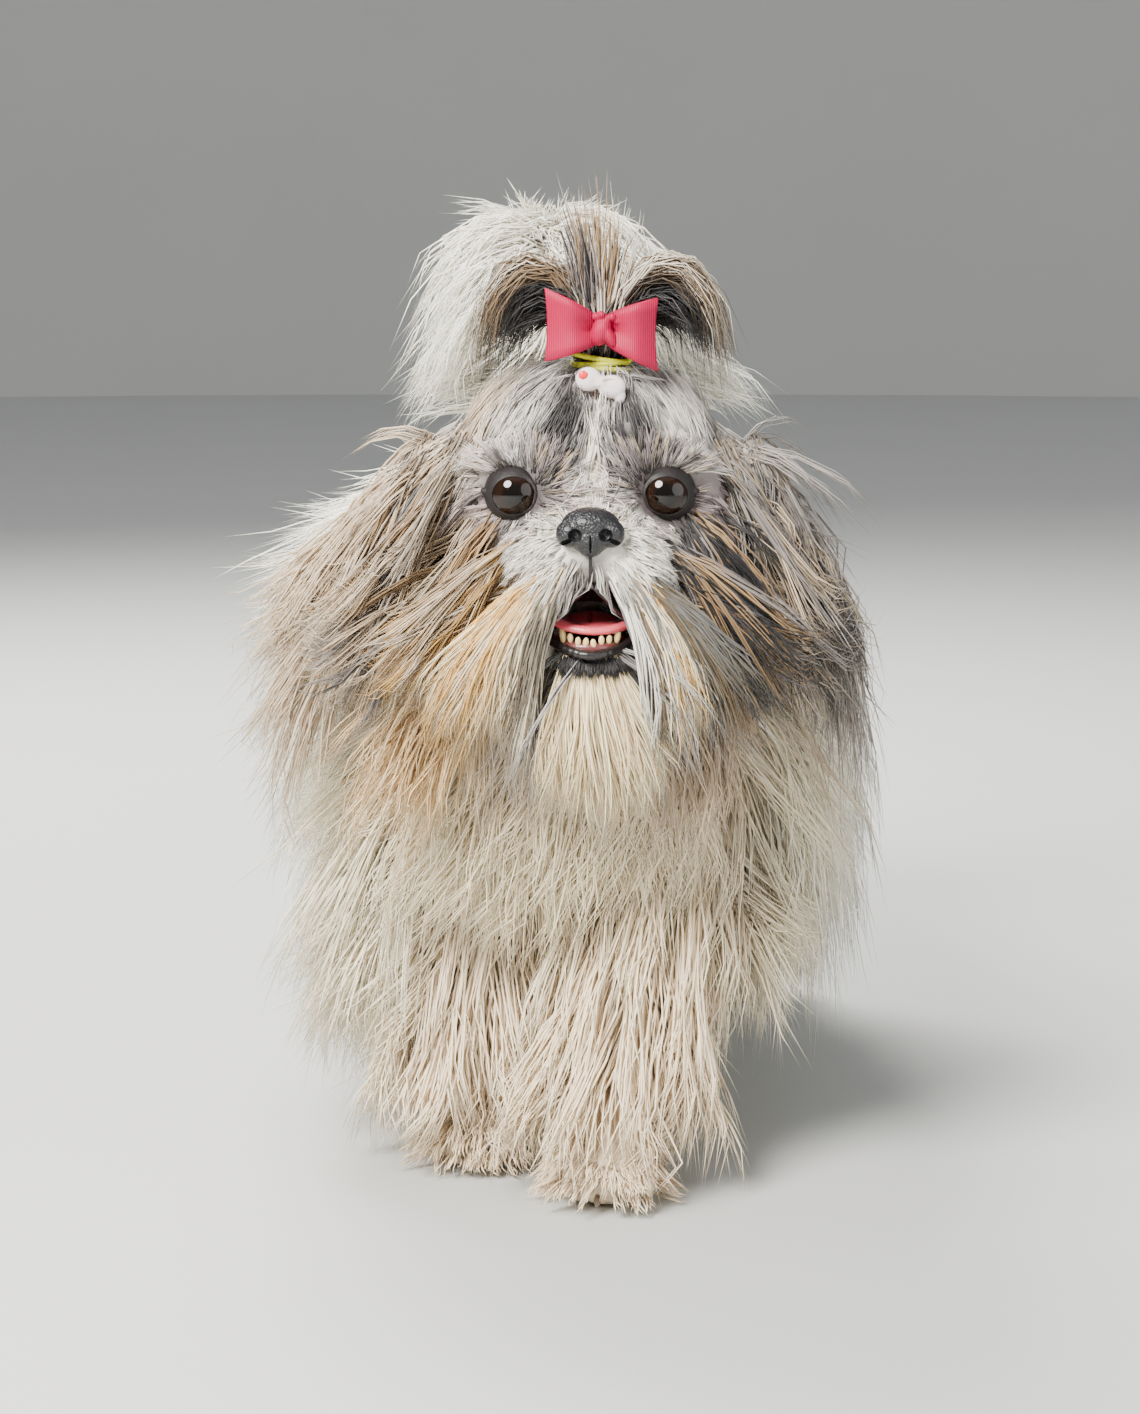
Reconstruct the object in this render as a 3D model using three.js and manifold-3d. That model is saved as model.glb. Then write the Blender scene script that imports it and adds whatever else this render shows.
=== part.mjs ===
// A small long-coated dog walking towards the viewer, life size, in millimetres.
// +Z is up, the dog faces -Y and its left side is +X. Each node is one closed body.
import * as THREE from "three";
import { mergeVertices } from "three/addons/utils/BufferGeometryUtils.js";
import Module from "manifold-3d";

const wasm = await Module();
wasm.setup();

// Driving sizes
const GAP = 0.3; // between neighbouring nodes
const BACK_TOP = 256; // skin height over the back
const BODY_HALF_WIDTH = 64; // core of the barrel, with the under-coat
const BELLY_Z = 126;
const CHEST_Y = -118;
const RUMP_Y = 172;
const SKULL = { at: [0, -178, 254], r: [54, 46, 46] };
const NOSE_TIP_Y = -247;
const EYE = { x: 26.5, y: -212.5, z: 258, r: 10 };
const EAR_SPLIT_X = 54; // the ears grow outside this plane
const EAR_TOP_Z = 287;
const TAIL_SPLIT_Z = 250; // the tail grows above this level
const PAW_R = [19, 22, 20];

const MATERIALS = {
  cream: [0xeee2cc, 0.85],
  white: [0xf4f0e8, 0.85],
  gold: [0xd8bb82, 0.85],
  grey: [0x8f877c, 0.8],
  charcoal: [0x45433f, 0.8],
  noseLeather: [0x1b1d20, 0.45],
  eye: [0x24150c, 0.08],
  tongue: [0xdc7c88, 0.4],
  tooth: [0xe2cf9f, 0.35],
  ribbon: [0xe8195e, 0.6],
  elastic: [0xc8c81e, 0.55],
  clip: [0xe8e0dc, 0.2],
};

const dog = new THREE.Group();
const vec = (p) => new THREE.Vector3(...p);
const mix = (a, b, t) => a + (b - a) * t;

// A small seeded generator, so that each build draws the same numbers.
function seeded(seed) {
  let state = seed;
  return () => {
    state = (state * 1664525 + 1013904223) % 4294967296;
    return state / 4294967296;
  };
}

function solid(geometry) {
  geometry.deleteAttribute("normal");
  geometry.deleteAttribute("uv");
  const merged = mergeVertices(geometry, 1e-4);
  return new wasm.Manifold(
    new wasm.Mesh({
      numProp: 3,
      vertProperties: new Float32Array(merged.attributes.position.array),
      triVerts: new Uint32Array(merged.index.array),
    }),
  );
}

const join = (list) => wasm.Manifold.union(list);
const grown = (r, by) => r.map((v) => v + by);

function ball(at, r, wide = 20, high = 14, turn = [0, 0, 0]) {
  const g = new THREE.SphereGeometry(1, wide, high);
  g.rotateX(Math.PI / 2);
  g.scale(...r);
  g.rotateX(turn[0]).rotateY(turn[1]).rotateZ(turn[2]);
  g.translate(...at);
  return solid(g);
}

function box(low, high) {
  const size = low.map((v, i) => high[i] - v);
  const g = new THREE.BoxGeometry(...size);
  g.translate(...low.map((v, i) => v + size[i] / 2));
  return solid(g);
}

// A round limb along a smooth curve: radii gives [across, through] at each point.
function limb(points, radii, sides = 14, steps = 10, outward = [0, -1, 0]) {
  const curve = new THREE.CatmullRomCurve3(points.map(vec));
  const g = new THREE.CylinderGeometry(1, 1, 1, sides, steps);
  return bent(g, curve, outward, (t) => {
    const place = t * (radii.length - 1);
    const i = Math.min(Math.floor(place), radii.length - 2);
    return [0, 1].map((k) => mix(radii[i][k], radii[i + 1][k], place - i));
  });
}

// Bends a unit cylinder or cone along a curve. Its flat side faces outward, or its width lies across.
function bent(g, curve, outward, radiusAt, across = null) {
  const p = g.attributes.position;
  const out = vec(outward);
  for (let i = 0; i < p.count; i++) {
    const t = p.getY(i) + 0.5;
    const angle = Math.atan2(p.getZ(i), p.getX(i));
    const on = Math.hypot(p.getX(i), p.getZ(i)) > 1e-6 ? 1 : 0;
    const along = curve.getTangentAt(t);
    const normal = across
      ? vec(across).cross(along).normalize()
      : out.clone().addScaledVector(along, -out.dot(along)).normalize();
    const side = along.clone().cross(normal);
    const [wide, thick] = radiusAt(t);
    const q = curve.getPointAt(t);
    q.addScaledVector(side, wide * Math.cos(angle) * on);
    q.addScaledVector(normal, thick * Math.sin(angle) * on);
    p.setXYZ(i, q.x, q.y, q.z);
  }
  return solid(g);
}

// A flat, tapered lock from root to tip. bulge pushes its middle out, and sink roots it in the body.
function lock(root, tip, bulge, width, options = {}) {
  const { thick = 5, sink = 6, curl = [0, 0, 0], outward = null, across = null, bends = 3 } = options;
  const a = vec(root);
  const d = vec(tip);
  const out = outward ? vec(outward).normalize() : vec(bulge).normalize();
  const b = a.clone().lerp(d, 0.33).add(vec(bulge));
  const c = a.clone().lerp(d, 0.72).addScaledVector(vec(bulge), 0.7);
  const start = a.clone().addScaledVector(out, -sink);
  const curve = new THREE.CatmullRomCurve3([start, b, c, d.clone().add(vec(curl))]);
  const g = new THREE.ConeGeometry(1, 1, 3, bends);
  const radiusAt = (t) => {
    const taper = Math.sqrt(1 - t ** 2.2) * (0.75 + 0.5 * t * (1 - t));
    return [width * 0.5 * taper + 0.3, thick * 0.5 * taper + 0.3];
  };
  return bent(g, curve, out.toArray(), radiusAt, across);
}

// The part of a that lies clear of the cutters.
const clear = (a, ...cutters) => a.subtract(join(cutters));

// Keeps the largest closed surface, which also fills any hollow that the joining sealed.
function largest(made) {
  const parts = made.decompose().filter((m) => m.volume() > 0);
  return parts.reduce((a, b) => (b.volume() > a.volume() ? b : a));
}

function addNode(name, made, look) {
  const m = largest(made).getMesh();
  const g = new THREE.BufferGeometry();
  const xyz = new Float32Array(m.numVert * 3);
  for (let i = 0; i < m.numVert; i++)
    xyz.set(m.vertProperties.subarray(i * m.numProp, i * m.numProp + 3), i * 3);
  g.setAttribute("position", new THREE.BufferAttribute(xyz, 3));
  g.setIndex(new THREE.BufferAttribute(m.triVerts, 1));
  g.computeVertexNormals();
  const [color, roughness] = MATERIALS[look];
  const finish = new THREE.MeshStandardMaterial({ color, roughness, metalness: 0 });
  const mesh = new THREE.Mesh(g, finish);
  mesh.name = name;
  dog.add(mesh);
}

// Cells: simple solids that share the space out between neighbouring nodes

// Planes that share the space out: a sloping one is at y where the height is 0.
const HEAD_PLANE = { y: -190, z: 130, slope: 0.368 }; // behind the skull and the beard
const CHEST_PLANE = { y: -140, z: 100, slope: 0.25 }; // between the chest and the barrel
const LEG_PLANE = { n: [0.9, -0.4, 0.064], at: [-18, -162, 0] }; // between the forelegs

function inFront(m, { y, z, slope }, gap) {
  return m.trimByPlane([0, -1, slope], (slope * z - y) / Math.hypot(1, slope) + gap);
}

function behind(m, { y, z, slope }, gap) {
  return m.trimByPlane([0, 1, -slope], (y - slope * z) / Math.hypot(1, slope) + gap);
}

// The room that a leg and its feathering take, wider by grow where it is cut from a neighbour.
const FORE_LEFT = [[25, 25], [33, 33], [45, 42], [54, 48]];
const FORE_RIGHT = [[25, 25], [34, 34], [50, 44], [60, 50]];
const HIND = [[29, 32], [35, 37], [40, 42], [44, 46]];
const LEGS = {
  foreleg_left: { top: [37, -92, 178], paw: [7, -190], r: FORE_LEFT },
  foreleg_right: { top: [-37, -92, 178], paw: [-42, -134], r: FORE_RIGHT },
  hindleg_left: { top: [42, 118, 172], paw: [60, 168], r: HIND },
  hindleg_right: { top: [-42, 112, 172], paw: [-50, 88], r: HIND },
};

function legPath({ top, paw }, low) {
  const middle = [mix(top[0], paw[0], 0.45), mix(top[1], paw[1], 0.45), mix(top[2], low, 0.5)];
  return [top, middle, [paw[0], paw[1], low]];
}

const legCell = (leg, grow) =>
  limb(
    legPath(leg, -6 - grow).map((p, i) => (i ? p : [p[0], p[1], p[2] + grow])),
    leg.r.map((r) => grown(r, grow)),
    8,
    3,
  );
const legCells = () => Object.values(LEGS).map((leg) => legCell(leg, GAP));

// The jaw and beard lie between the two halves of the moustache.
function jawCell(grow) {
  const g = new THREE.BoxGeometry(1, 1, 1);
  const p = g.attributes.position;
  for (let i = 0; i < p.count; i++) {
    const high = p.getZ(i) > 0;
    const half = (high ? 19 : 36) + grow;
    const z = high ? 211 + grow : 110 - grow;
    p.setXYZ(i, Math.sign(p.getX(i)) * half, p.getY(i) < 0 ? -275 : -140, z);
  }
  return solid(g);
}

const skullCell = (grow) => ball(SKULL.at, grown(SKULL.r, grow), 16, 10);

// Outer limit of the coat on the back, under the tail's plume.
const backCell = (grow) => ball([0, 20, 200], grown([92, 178, 73], grow), 20, 12);
const upperRoom = () => box([-300, -300, TAIL_SPLIT_Z], [300, 400, 500]);

// The coat: how far it stands out from the middle line, at each height

const COAT_HEIGHTS = [20, 50, 100, 150, 190, 225, 250];
const COAT_REACH = { left: [104, 112, 118, 119, 108, 92, 74], right: [100, 118, 132, 146, 150, 118, 84] };

function coatReach(side, z, y) {
  const row = COAT_REACH[side > 0 ? "left" : "right"];
  let i = COAT_HEIGHTS.findIndex((h) => h > z) - 1;
  if (i < 0) i = z < COAT_HEIGHTS[0] ? 0 : COAT_HEIGHTS.length - 2;
  const share = (z - COAT_HEIGHTS[i]) / (COAT_HEIGHTS[i + 1] - COAT_HEIGHTS[i]);
  const rounding = Math.sqrt(Math.max(0.05, 1 - ((y - 5) / 210) ** 2));
  return mix(row[i], row[i + 1], share) * rounding;
}

// Evenly spread numbers from low to high.
const spread = (count, low, high) =>
  Array.from({ length: count }, (_, i) => mix(low, high, count > 1 ? i / (count - 1) : 0.5));

// Tiers of locks down one flank: where each tier grows, where its tips end and how far it bulges.
const FLANK_TIERS = [
  { root: [12, 254], tipZ: 178, bulge: [20, 16], width: 80, back: 0 },
  { root: [50, 234], tipZ: 106, bulge: [24, 8], width: 84, back: 30 },
  { root: [60, 190], tipZ: 42, bulge: [28, 0], width: 88, back: 4 },
];
const FLANK_LOCKS = 5;

function flankLocks(side, random) {
  return FLANK_TIERS.flatMap(({ root, tipZ, bulge, width, back }, tier) =>
    spread(FLANK_LOCKS, -124 + back, 162 + back * 0.5).map((y) => {
      const z = tipZ + (random() - 0.5) * 22;
      const reach = coatReach(side, z, y) * (0.93 + random() * 0.07);
      const lift = side < 0 && tier === 0 ? 18 : 2;
      const narrow = Math.sqrt(1 - (y / 215) ** 2);
      const start = [side * root[0] * narrow, y * 0.97, root[1]];
      const out = [side * bulge[0], 0, bulge[1]];
      const tip = [side * reach, y + (random() - 0.4) * 16, z];
      return lock(start, tip, out, width * (0.85 + random() * 0.3), {
        thick: 10,
        sink: 14,
        curl: [side * lift * 0.2, 4, lift],
      });
    }),
  );
}

// Locks behind the thighs: [height of the root, how far back the tip is, height of the tip].
const RUMP_TIERS = [
  [236, 224, 138],
  [206, 232, 56],
];

function rumpLocks(random) {
  return RUMP_TIERS.flatMap(([rootZ, tipY, tipZ], tier) =>
    spread(3 + tier, -44 - tier * 8, 44 + tier * 8).map((x) => {
      const tip = [x * 1.6, tipY - Math.abs(x) * 0.55, tipZ + random() * 14];
      const root = [x, 166 - Math.abs(x) * 0.3, rootZ];
      return lock(root, tip, [0, 22, 8], 50, { thick: 10, sink: 16, bends: 2 });
    }),
  );
}

function makeTorso() {
  const random = seeded(11);
  const midZ = (BACK_TOP + BELLY_Z) / 2;
  const halfHigh = (BACK_TOP - BELLY_Z) / 2;
  const spine = [
    [0, CHEST_Y, midZ + 4],
    [0, -60, midZ],
    [0, 60, midZ + 2],
    [0, 140, midZ + 8],
    [0, RUMP_Y, midZ + 10],
  ];
  const wide = [
    [50, 52],
    [BODY_HALF_WIDTH, halfHigh],
    [BODY_HALF_WIDTH, halfHigh - 4],
    [58, 54],
    [30, 32],
  ];
  const core = limb(spine, wide, 14, 7, [0, 0, 1]);
  const locks = [...flankLocks(1, random), ...flankLocks(-1, random), ...rumpLocks(random)];
  const above = clear(upperRoom(), backCell(0));
  return behind(clear(join([core, ...locks]), above, ...legCells()), CHEST_PLANE, GAP / 2);
}

// Tiers of chest hair below the beard: height of the roots, fall, width of the row.
const CHEST_TIERS = [
  { z: 222, fall: 66, half: 62 },
  { z: 186, fall: 62, half: 60 },
  { z: 150, fall: 58, half: 50 },
];

function makeNeck() {
  const random = seeded(23);
  const spine = [
    [0, -190, 275],
    [0, -150, 244],
    [0, -112, 205],
    [0, -95, 172],
  ];
  const wide = [
    [36, 34],
    [42, 38],
    [50, 46],
    [48, 44],
  ];
  const core = limb(spine, wide, 12, 5);
  const locks = CHEST_TIERS.flatMap(({ z, fall, half }) =>
    spread(4, -half, half).map((x) => {
      const start = [x * 0.8, -146 + Math.abs(x) * 0.35, z];
      const tip = [x * 1.15, start[1] - 20, z - fall - random() * 12];
      return lock(start, tip, [0, -14, 4], 42, { thick: 9, sink: 20 });
    }),
  );
  const ruff = [1, -1].flatMap((side) =>
    spread(3, 170, 250).map((z) => {
      const tip = [side * (96 + random() * 8), -142 + random() * 10, z - 52];
      return lock([side * 40, -128, z], tip, [side * 16, -6, 8], 38, { thick: 9, sink: 12, bends: 2 });
    }),
  );
  const made = clear(join([core, ...locks, ...ruff]), ...legCells());
  return behind(inFront(made, CHEST_PLANE, GAP / 2), HEAD_PLANE, GAP / 2);
}

// Hair of one side of the face: moustache, cheek and the short hair swept up to the band.
function faceLocks(side, random) {
  const moustache = spread(4, 0, 1).map((t) => {
    const start = [side * mix(9, 24, t), mix(-240, -226, t), mix(233, 226, t)];
    const tip = [side * mix(27, 50, t), mix(-214, -196, t), mix(168, 196, t) - random() * 6];
    return lock(start, tip, [side * 8, -9, 3], 18, { thick: 6, sink: 7, bends: 2 });
  });
  const cheek = spread(2, 0, 1).map((t) => {
    const start = [side * mix(36, 48, t), mix(-212, -180, t), mix(232, 246, t)];
    const tip = [side * mix(46, 53, t), mix(-198, -172, t), 172 + random() * 10];
    return lock(start, tip, [side * 7, -8, 4], 26, { thick: 6, sink: 8 });
  });
  const brow = spread(2, 9, 30).map((x) => {
    const tip = [side * (4 + x * 0.25), -198 + x * 0.2, 299 - x * 0.1];
    return lock([side * x, -216 + x * 0.25, 270], tip, [side * 2, -5, 4], 16, { thick: 4 });
  });
  return [...moustache, ...cheek, ...brow];
}

function makeHead() {
  const random = seeded(37);
  const muzzle = ball([0, -221, 235], [31, 21, 19], 10, 6);
  const sides = [1, -1].flatMap((s) => [
    ball([s * 13, -228, 231], [15, 14, 14], 10, 6),
    ball([s * 34, -192, 222], [18, 24, 28], 10, 6),
    ball([s * EYE.x, -209, 268], [15, 9, 7], 8, 6),
    ...faceLocks(s, random),
  ]);
  const mouth = ball([0, -232, 217], [15, 24, 13], 12, 6);
  const socketR = EYE.r + 1.1; // its flats clear the eye
  const sockets = [1, -1].map((s) => ball([s * EYE.x, EYE.y, EYE.z], [socketR, socketR, socketR], 10, 6));
  const cut = clear(join([skullCell(0), muzzle, ...sides]), mouth, ...headRoom());
  const lids = join([1, -1].map(makeLid));
  const whole = clear(join([cut, lids]), ...sockets);
  const narrow = whole.trimByPlane([1, 0, 0], -EAR_SPLIT_X).trimByPlane([-1, 0, 0], -EAR_SPLIT_X);
  return inFront(narrow, HEAD_PLANE, GAP / 2);
}

// What the head makes room for: nose, jaw and the clip on the forehead.
const headRoom = () => [noseShape(GAP), jawCell(GAP), clipShape(GAP)];

// A rim of eyelid round the open eye.
function makeLid(side) {
  const rim = new THREE.TorusGeometry(9.6, 2.1, 4, 12);
  rim.scale(1, 0.92, 1);
  rim.rotateX(Math.PI / 2);
  rim.rotateZ(side * 0.35);
  rim.translate(side * (EYE.x + 1.2), EYE.y - 4.6, EYE.z);
  return solid(rim);
}

const TONGUE = { at: [0, -224, 214.5], r: [14, 15, 4] };
const PALATE_Z = 217.8;

function makeJaw() {
  const random = seeded(41);
  const jaw = ball([0, -213, 201], [18, 22, 11], 10, 6);
  const lip = ball([0, -229, 204], [14, 7, 5], 10, 6);
  const beard = spread(3, -13, 16).flatMap((x) =>
    [0, 1].map((row) => {
      const start = [x, -228 + row * 10, 200 - row * 4];
      const tip = [x * 1.5 + 2, -214 + row * 12, 133 + Math.abs(x) * 0.8 + random() * 10];
      return lock(start, tip, [0, -7, 0], 22, { thick: 8, sink: 5, bends: 2 });
    }),
  );
  const inside = join([jaw, lip, ...beard]).intersect(jawCell(0));
  const tongueRoom = ball(TONGUE.at, grown(TONGUE.r, GAP), 10, 6);
  return inFront(clear(inside, teethShape(GAP), tongueRoom), HEAD_PLANE, GAP / 2);
}

function makeTongue() {
  const palate = box([-40, -300, PALATE_Z], [40, -100, 300]);
  return clear(ball(TONGUE.at, TONGUE.r, 10, 6), teethShape(GAP), palate);
}

// The gum that carries the lower teeth.
function makeTeethBar(grow) {
  const arc = [[-12, -226, 209], [-7, -234.5, 208], [0, -237, 208], [7, -234.5, 208], [12, -226, 209]];
  const r = [2 + grow, 2 + grow];
  return limb(arc, [r, r], 6, 6, [0, 0, 1]);
}

// Six lower front teeth on their gum, grown by a margin where they are cut from a neighbour.
function teethShape(grow) {
  const teeth = [-9.6, -6, -2.2, 2.2, 6, 9.6].map((x) => {
    const g = new THREE.CylinderGeometry(1.1 + grow, 1.5 + grow, 4.4 + grow, 4);
    g.rotateX(Math.PI / 2);
    g.translate(x, -237 + (x / 10) ** 2 * 6, 210.6);
    return solid(g);
  });
  return join([makeTeethBar(grow), ...teeth]);
}

const noseShape = (grow) => ball([0, NOSE_TIP_Y + 8, 247], grown([11, 8, 8.5], grow), 12, 6);

function makeNose() {
  const nostrils = [1, -1].map((s) => ball([s * 5, NOSE_TIP_Y + 1, 246], [2.6, 4, 2.4], 6, 5));
  return clear(noseShape(0), ...nostrils);
}

function makeEar(side) {
  const random = seeded(side > 0 ? 53 : 59);
  const leather = ball([side * 67, -163, 256], [5, 17, 32], 12, 6, [0, side * -0.3, 0]);
  const cup = ball([side * 60.5, -163, 254], [4, 11, 22], 10, 6, [0, side * -0.3, 0]);
  const root = ball([side * 57, -174, 257], [9, 13, 15], 10, 6);
  const locks = spread(5, 0, 1).map((t, i) => {
    const start = [side * (66 + (i % 2) * 5), mix(-178, -150, t), 262 - (i % 3) * 14];
    const tip = [side * mix(80, 96, random()), mix(-188, -158, t), 168 + random() * 22];
    return lock(start, tip, [side * 13, -5, 6], 24, { thick: 8, sink: 5, bends: 2 });
  });
  const made = join([clear(leather, cup), root, ...locks]);
  const outer = made.trimByPlane([side, 0, 0], EAR_SPLIT_X + GAP);
  return inFront(outer.trimByPlane([0, 0, -1], -EAR_TOP_Z), HEAD_PLANE, GAP / 2);
}

// Hair above the band: a spray that stands up and falls in an arc on either side.
const KNOT_AT = [4, -188, 308];

function makeTopknot() {
  const random = seeded(67);
  const stem = limb(
    [
      [4, -186, 294],
      [4, -188, 312],
      [4, -187, 330],
    ],
    [
      [9, 9],
      [8, 8],
      [9, 7],
    ],
    8,
    2,
  );
  const upright = spread(3, -12, 14).map((x) => {
    const tip = [4 + x, -182, 366 - Math.abs(x) * 1.6];
    const shape = { thick: 8, sink: 3, outward: [0, -1, 0] };
    return lock([4 + x * 0.3, -189, 313], tip, [x * 0.5, -5, 0], 15, shape);
  });
  const drapes = [1, -1].flatMap((side) =>
    spread(3, 0, 1).map((t) => {
      const tip = [4 + side * mix(30, 49, t), mix(-190, -166, random()), mix(312, 291, t)];
      const rise = [side * 4, 0, mix(30, 36, t)];
      const shape = { thick: 8, sink: 0, across: [0, side, 0], bends: 4 };
      const from = [KNOT_AT[0] + side * 2, KNOT_AT[1] + 5 * t - 2, KNOT_AT[2] + 3 * t];
      return lock(from, tip, rise, 24, shape);
    }),
  );
  const whole = join([stem, ...upright, ...drapes]);
  const made = clear(whole, skullCell(GAP), bowRoom(), bandShape(1 + GAP));
  return inFront(made.trimByPlane([0, 0, 1], EAR_TOP_Z + GAP), HEAD_PLANE, GAP / 2);
}

const bowRoom = () => box([-20, -260, 299], [28, -197.6, 330]);

function bandShape(tube) {
  const g = new THREE.TorusGeometry(8.6, 1 + tube, 6, 16);
  g.translate(4, -188, 302.6);
  return solid(g);
}

function makeBowLoop(side) {
  const upper = [
    [2.2, 4],
    [9, 7],
    [19, 12.5],
    [20.5, 0],
  ];
  const lower = upper.slice(0, 3).reverse();
  const outer = [...upper, ...lower.map(([x, z]) => [x, -z])];
  const shape = new THREE.Shape(outer.map(([x, z]) => new THREE.Vector2(side * x, z)));
  const g = new THREE.ExtrudeGeometry(shape, { depth: 9, bevelEnabled: false });
  g.rotateX(Math.PI / 2);
  g.rotateY(0.06);
  g.translate(4, -199, 314.5);
  const fold = ball([4 + side * 13, -207.8, 314], [9, 3.4, 3], 8, 6);
  return clear(solid(g), fold, knotShape(GAP));
}

const knotShape = (grow) => ball([4, -203.4, 314.5], [4.6 + grow, 5.5 + grow, 5.2 + grow], 10, 6);

const clipShape = (grow) =>
  box([-1.5 - grow, -208 - grow, 290.5 - grow], [7.5 + grow, -202 + grow, 298.4 + grow]);

function makeFoot(name, leg) {
  const [x, y] = leg.paw;
  const pad = ball([x, y, 4], PAW_R, 10, 6);
  const toes = [-1.5, -0.5, 0.5, 1.5].map((k) =>
    ball([x + k * 8, y - 19 + Math.abs(k) * 4, 5], [6, 10, 8], 6, 5),
  );
  const flat = join([pad, ...toes]).trimByPlane([0, 0, 1], 0);
  addNode(name, flat, "white");
}

// Two tiers of feathering down the leg: where roots and tips lie along it, from top to floor.
const FEATHERS = 4; // in each tier
const LEG_TIERS = [
  { from: 0.08, to: 0.62 },
  { from: 0.42, to: 0.99 },
];

function legLocks(leg, random) {
  const path = new THREE.CatmullRomCurve3(legPath(leg, 8).map(vec));
  const radiusAt = (t) => {
    const i = Math.min(Math.floor(t * 3), 2);
    return [0, 1].map((k) => mix(leg.r[i][k], leg.r[i + 1][k], t * 3 - i));
  };
  return LEG_TIERS.flatMap(({ from, to }, tier) =>
    spread(FEATHERS, 0, FEATHERS - 1).map((i) => {
      const angle = ((i + tier * 0.5) / FEATHERS) * Math.PI * 2;
      const out = [Math.cos(angle), Math.sin(angle), 0];
      const on = (t, share) => {
        const q = path.getPointAt(t);
        const [wide, deep] = radiusAt(t);
        return [q.x + out[0] * wide * share, q.y + out[1] * deep * share, q.z];
      };
      const tip = on(to - random() * 0.06, 0.97);
      const bulge = out.map((v) => v * 9);
      return lock(on(from, 0.5), tip, bulge, 46 + tier * 12, { thick: 9, sink: 8, bends: 2 });
    }),
  );
}

function makeLeg(name, leg) {
  const random = seeded(71 + name.length);
  const slim = leg.r.map((r) => r.map((v) => v * 0.52));
  const core = limb(legPath(leg, 10), slim, 8, 3);
  const whole = join([core, ...legLocks(leg, random)]).intersect(legCell(leg, 0));
  return splitForelegs(name, clear(whole, pawRoom(leg)).trimByPlane([0, 0, 1], 3));
}

// Room for the foot and its toes inside the feathering.
const pawRoom = ({ paw }) =>
  join([
    ball([paw[0], paw[1], 4], grown(PAW_R, GAP * 1.2), 10, 6),
    ball([paw[0], paw[1] - 17, 4], [30, 19, 17], 8, 6),
  ]);

function splitForelegs(name, made) {
  const side = { foreleg_left: 1, foreleg_right: -1 }[name];
  if (!side) return made;
  const n = vec(LEG_PLANE.n).normalize();
  const offset = n.dot(vec(LEG_PLANE.at));
  return made.trimByPlane(n.clone().multiplyScalar(side).toArray(), side * offset + GAP / 2);
}

const TAIL_PATH = [
  [0, 158, 240],
  [-2, 176, 285],
  [-9, 165, 328],
  [-16, 128, 344],
  [-18, 88, 332],
  [-18, 62, 306],
];

// The plume falls on both sides of the curled tail, and its last hairs stand up over the back.
function makeTail() {
  const random = seeded(83);
  const thick = [17, 14, 13, 12, 9, 4].map((r) => [r, r * 0.9]);
  const core = limb(TAIL_PATH, thick, 8, 9, [1, 0, 0]);
  const path = new THREE.CatmullRomCurve3(TAIL_PATH.map(vec));
  const plume = [1, -1].flatMap((side) =>
    spread(7, 0.1, 0.97).map((t) => {
      const from = path.getPointAt(t);
      const along = path.getTangentAt(t);
      const reach = mix(92, 42, t) * (0.85 + random() * 0.15);
      const low = Math.max(from.z - 52 - random() * 14, 257 + random() * 16);
      const tip = [from.x + side * reach, from.y + along.y * 34 - 6, low];
      const rise = [side * 10, 0, 22 * (0.7 + random() * 0.5)];
      return lock(from.toArray(), tip, rise, 42, { thick: 10, sink: 0 });
    }),
  );
  const crest = spread(3, 0.5, 0.95).map((t, i) => {
    const from = path.getPointAt(t);
    const tip = [from.x + (i - 1) * 18, from.y - 22, 352 + random() * 12];
    return lock(from.toArray(), tip, [(i - 1) * 5, 0, 8], 20, { thick: 7, sink: 0 });
  });
  const made = clear(join([core, ...plume, ...crest]), backCell(GAP));
  return made.trimByPlane([0, 0, 1], TAIL_SPLIT_Z + GAP);
}

addNode("torso", makeTorso(), "white");
addNode("neck", makeNeck(), "cream");
addNode("head", makeHead(), "white");
addNode("jaw", makeJaw(), "gold");
addNode("nose", makeNose(), "noseLeather");
addNode("tongue", makeTongue(), "tongue");
addNode("teeth_lower", teethShape(0), "tooth");
for (const [word, side] of [["left", 1], ["right", -1]]) {
  addNode(`eye_${word}`, ball([side * EYE.x, EYE.y, EYE.z], [EYE.r, EYE.r, EYE.r], 12, 8), "eye");
  addNode(`ear_${word}`, makeEar(side), "grey");
  addNode(`bow_loop_${word}`, makeBowLoop(side), "ribbon");
}
addNode("bow_knot", knotShape(0), "ribbon");
addNode("hair_band", clear(bandShape(0.6), skullCell(GAP)), "elastic");
addNode("hair_clip", clipShape(0), "clip");
addNode("topknot", makeTopknot(), "charcoal");
addNode("tail", makeTail(), "white");
for (const [name, leg] of Object.entries(LEGS)) {
  addNode(name, makeLeg(name, leg), "white");
  makeFoot(name.replace("leg", "paw"), leg);
}

// The origin is on the floor, under the middle of the dog's bounding box.
const bounds = new THREE.Box3().setFromObject(dog);
const middle = bounds.getCenter(new THREE.Vector3());
dog.position.set(-middle.x, -middle.y, 0);

export default dog;
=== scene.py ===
# %% [markdown]
# # A small long-coated dog, walking
# A still, life-size model of a shih tzu that trots towards the camera with its mouth open.
# The solid model gives the size and the place of every piece. Here it gets one skin, eyes, nose,
# mouth, bow and a coat of some tens of thousands of thin closed strands.

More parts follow.
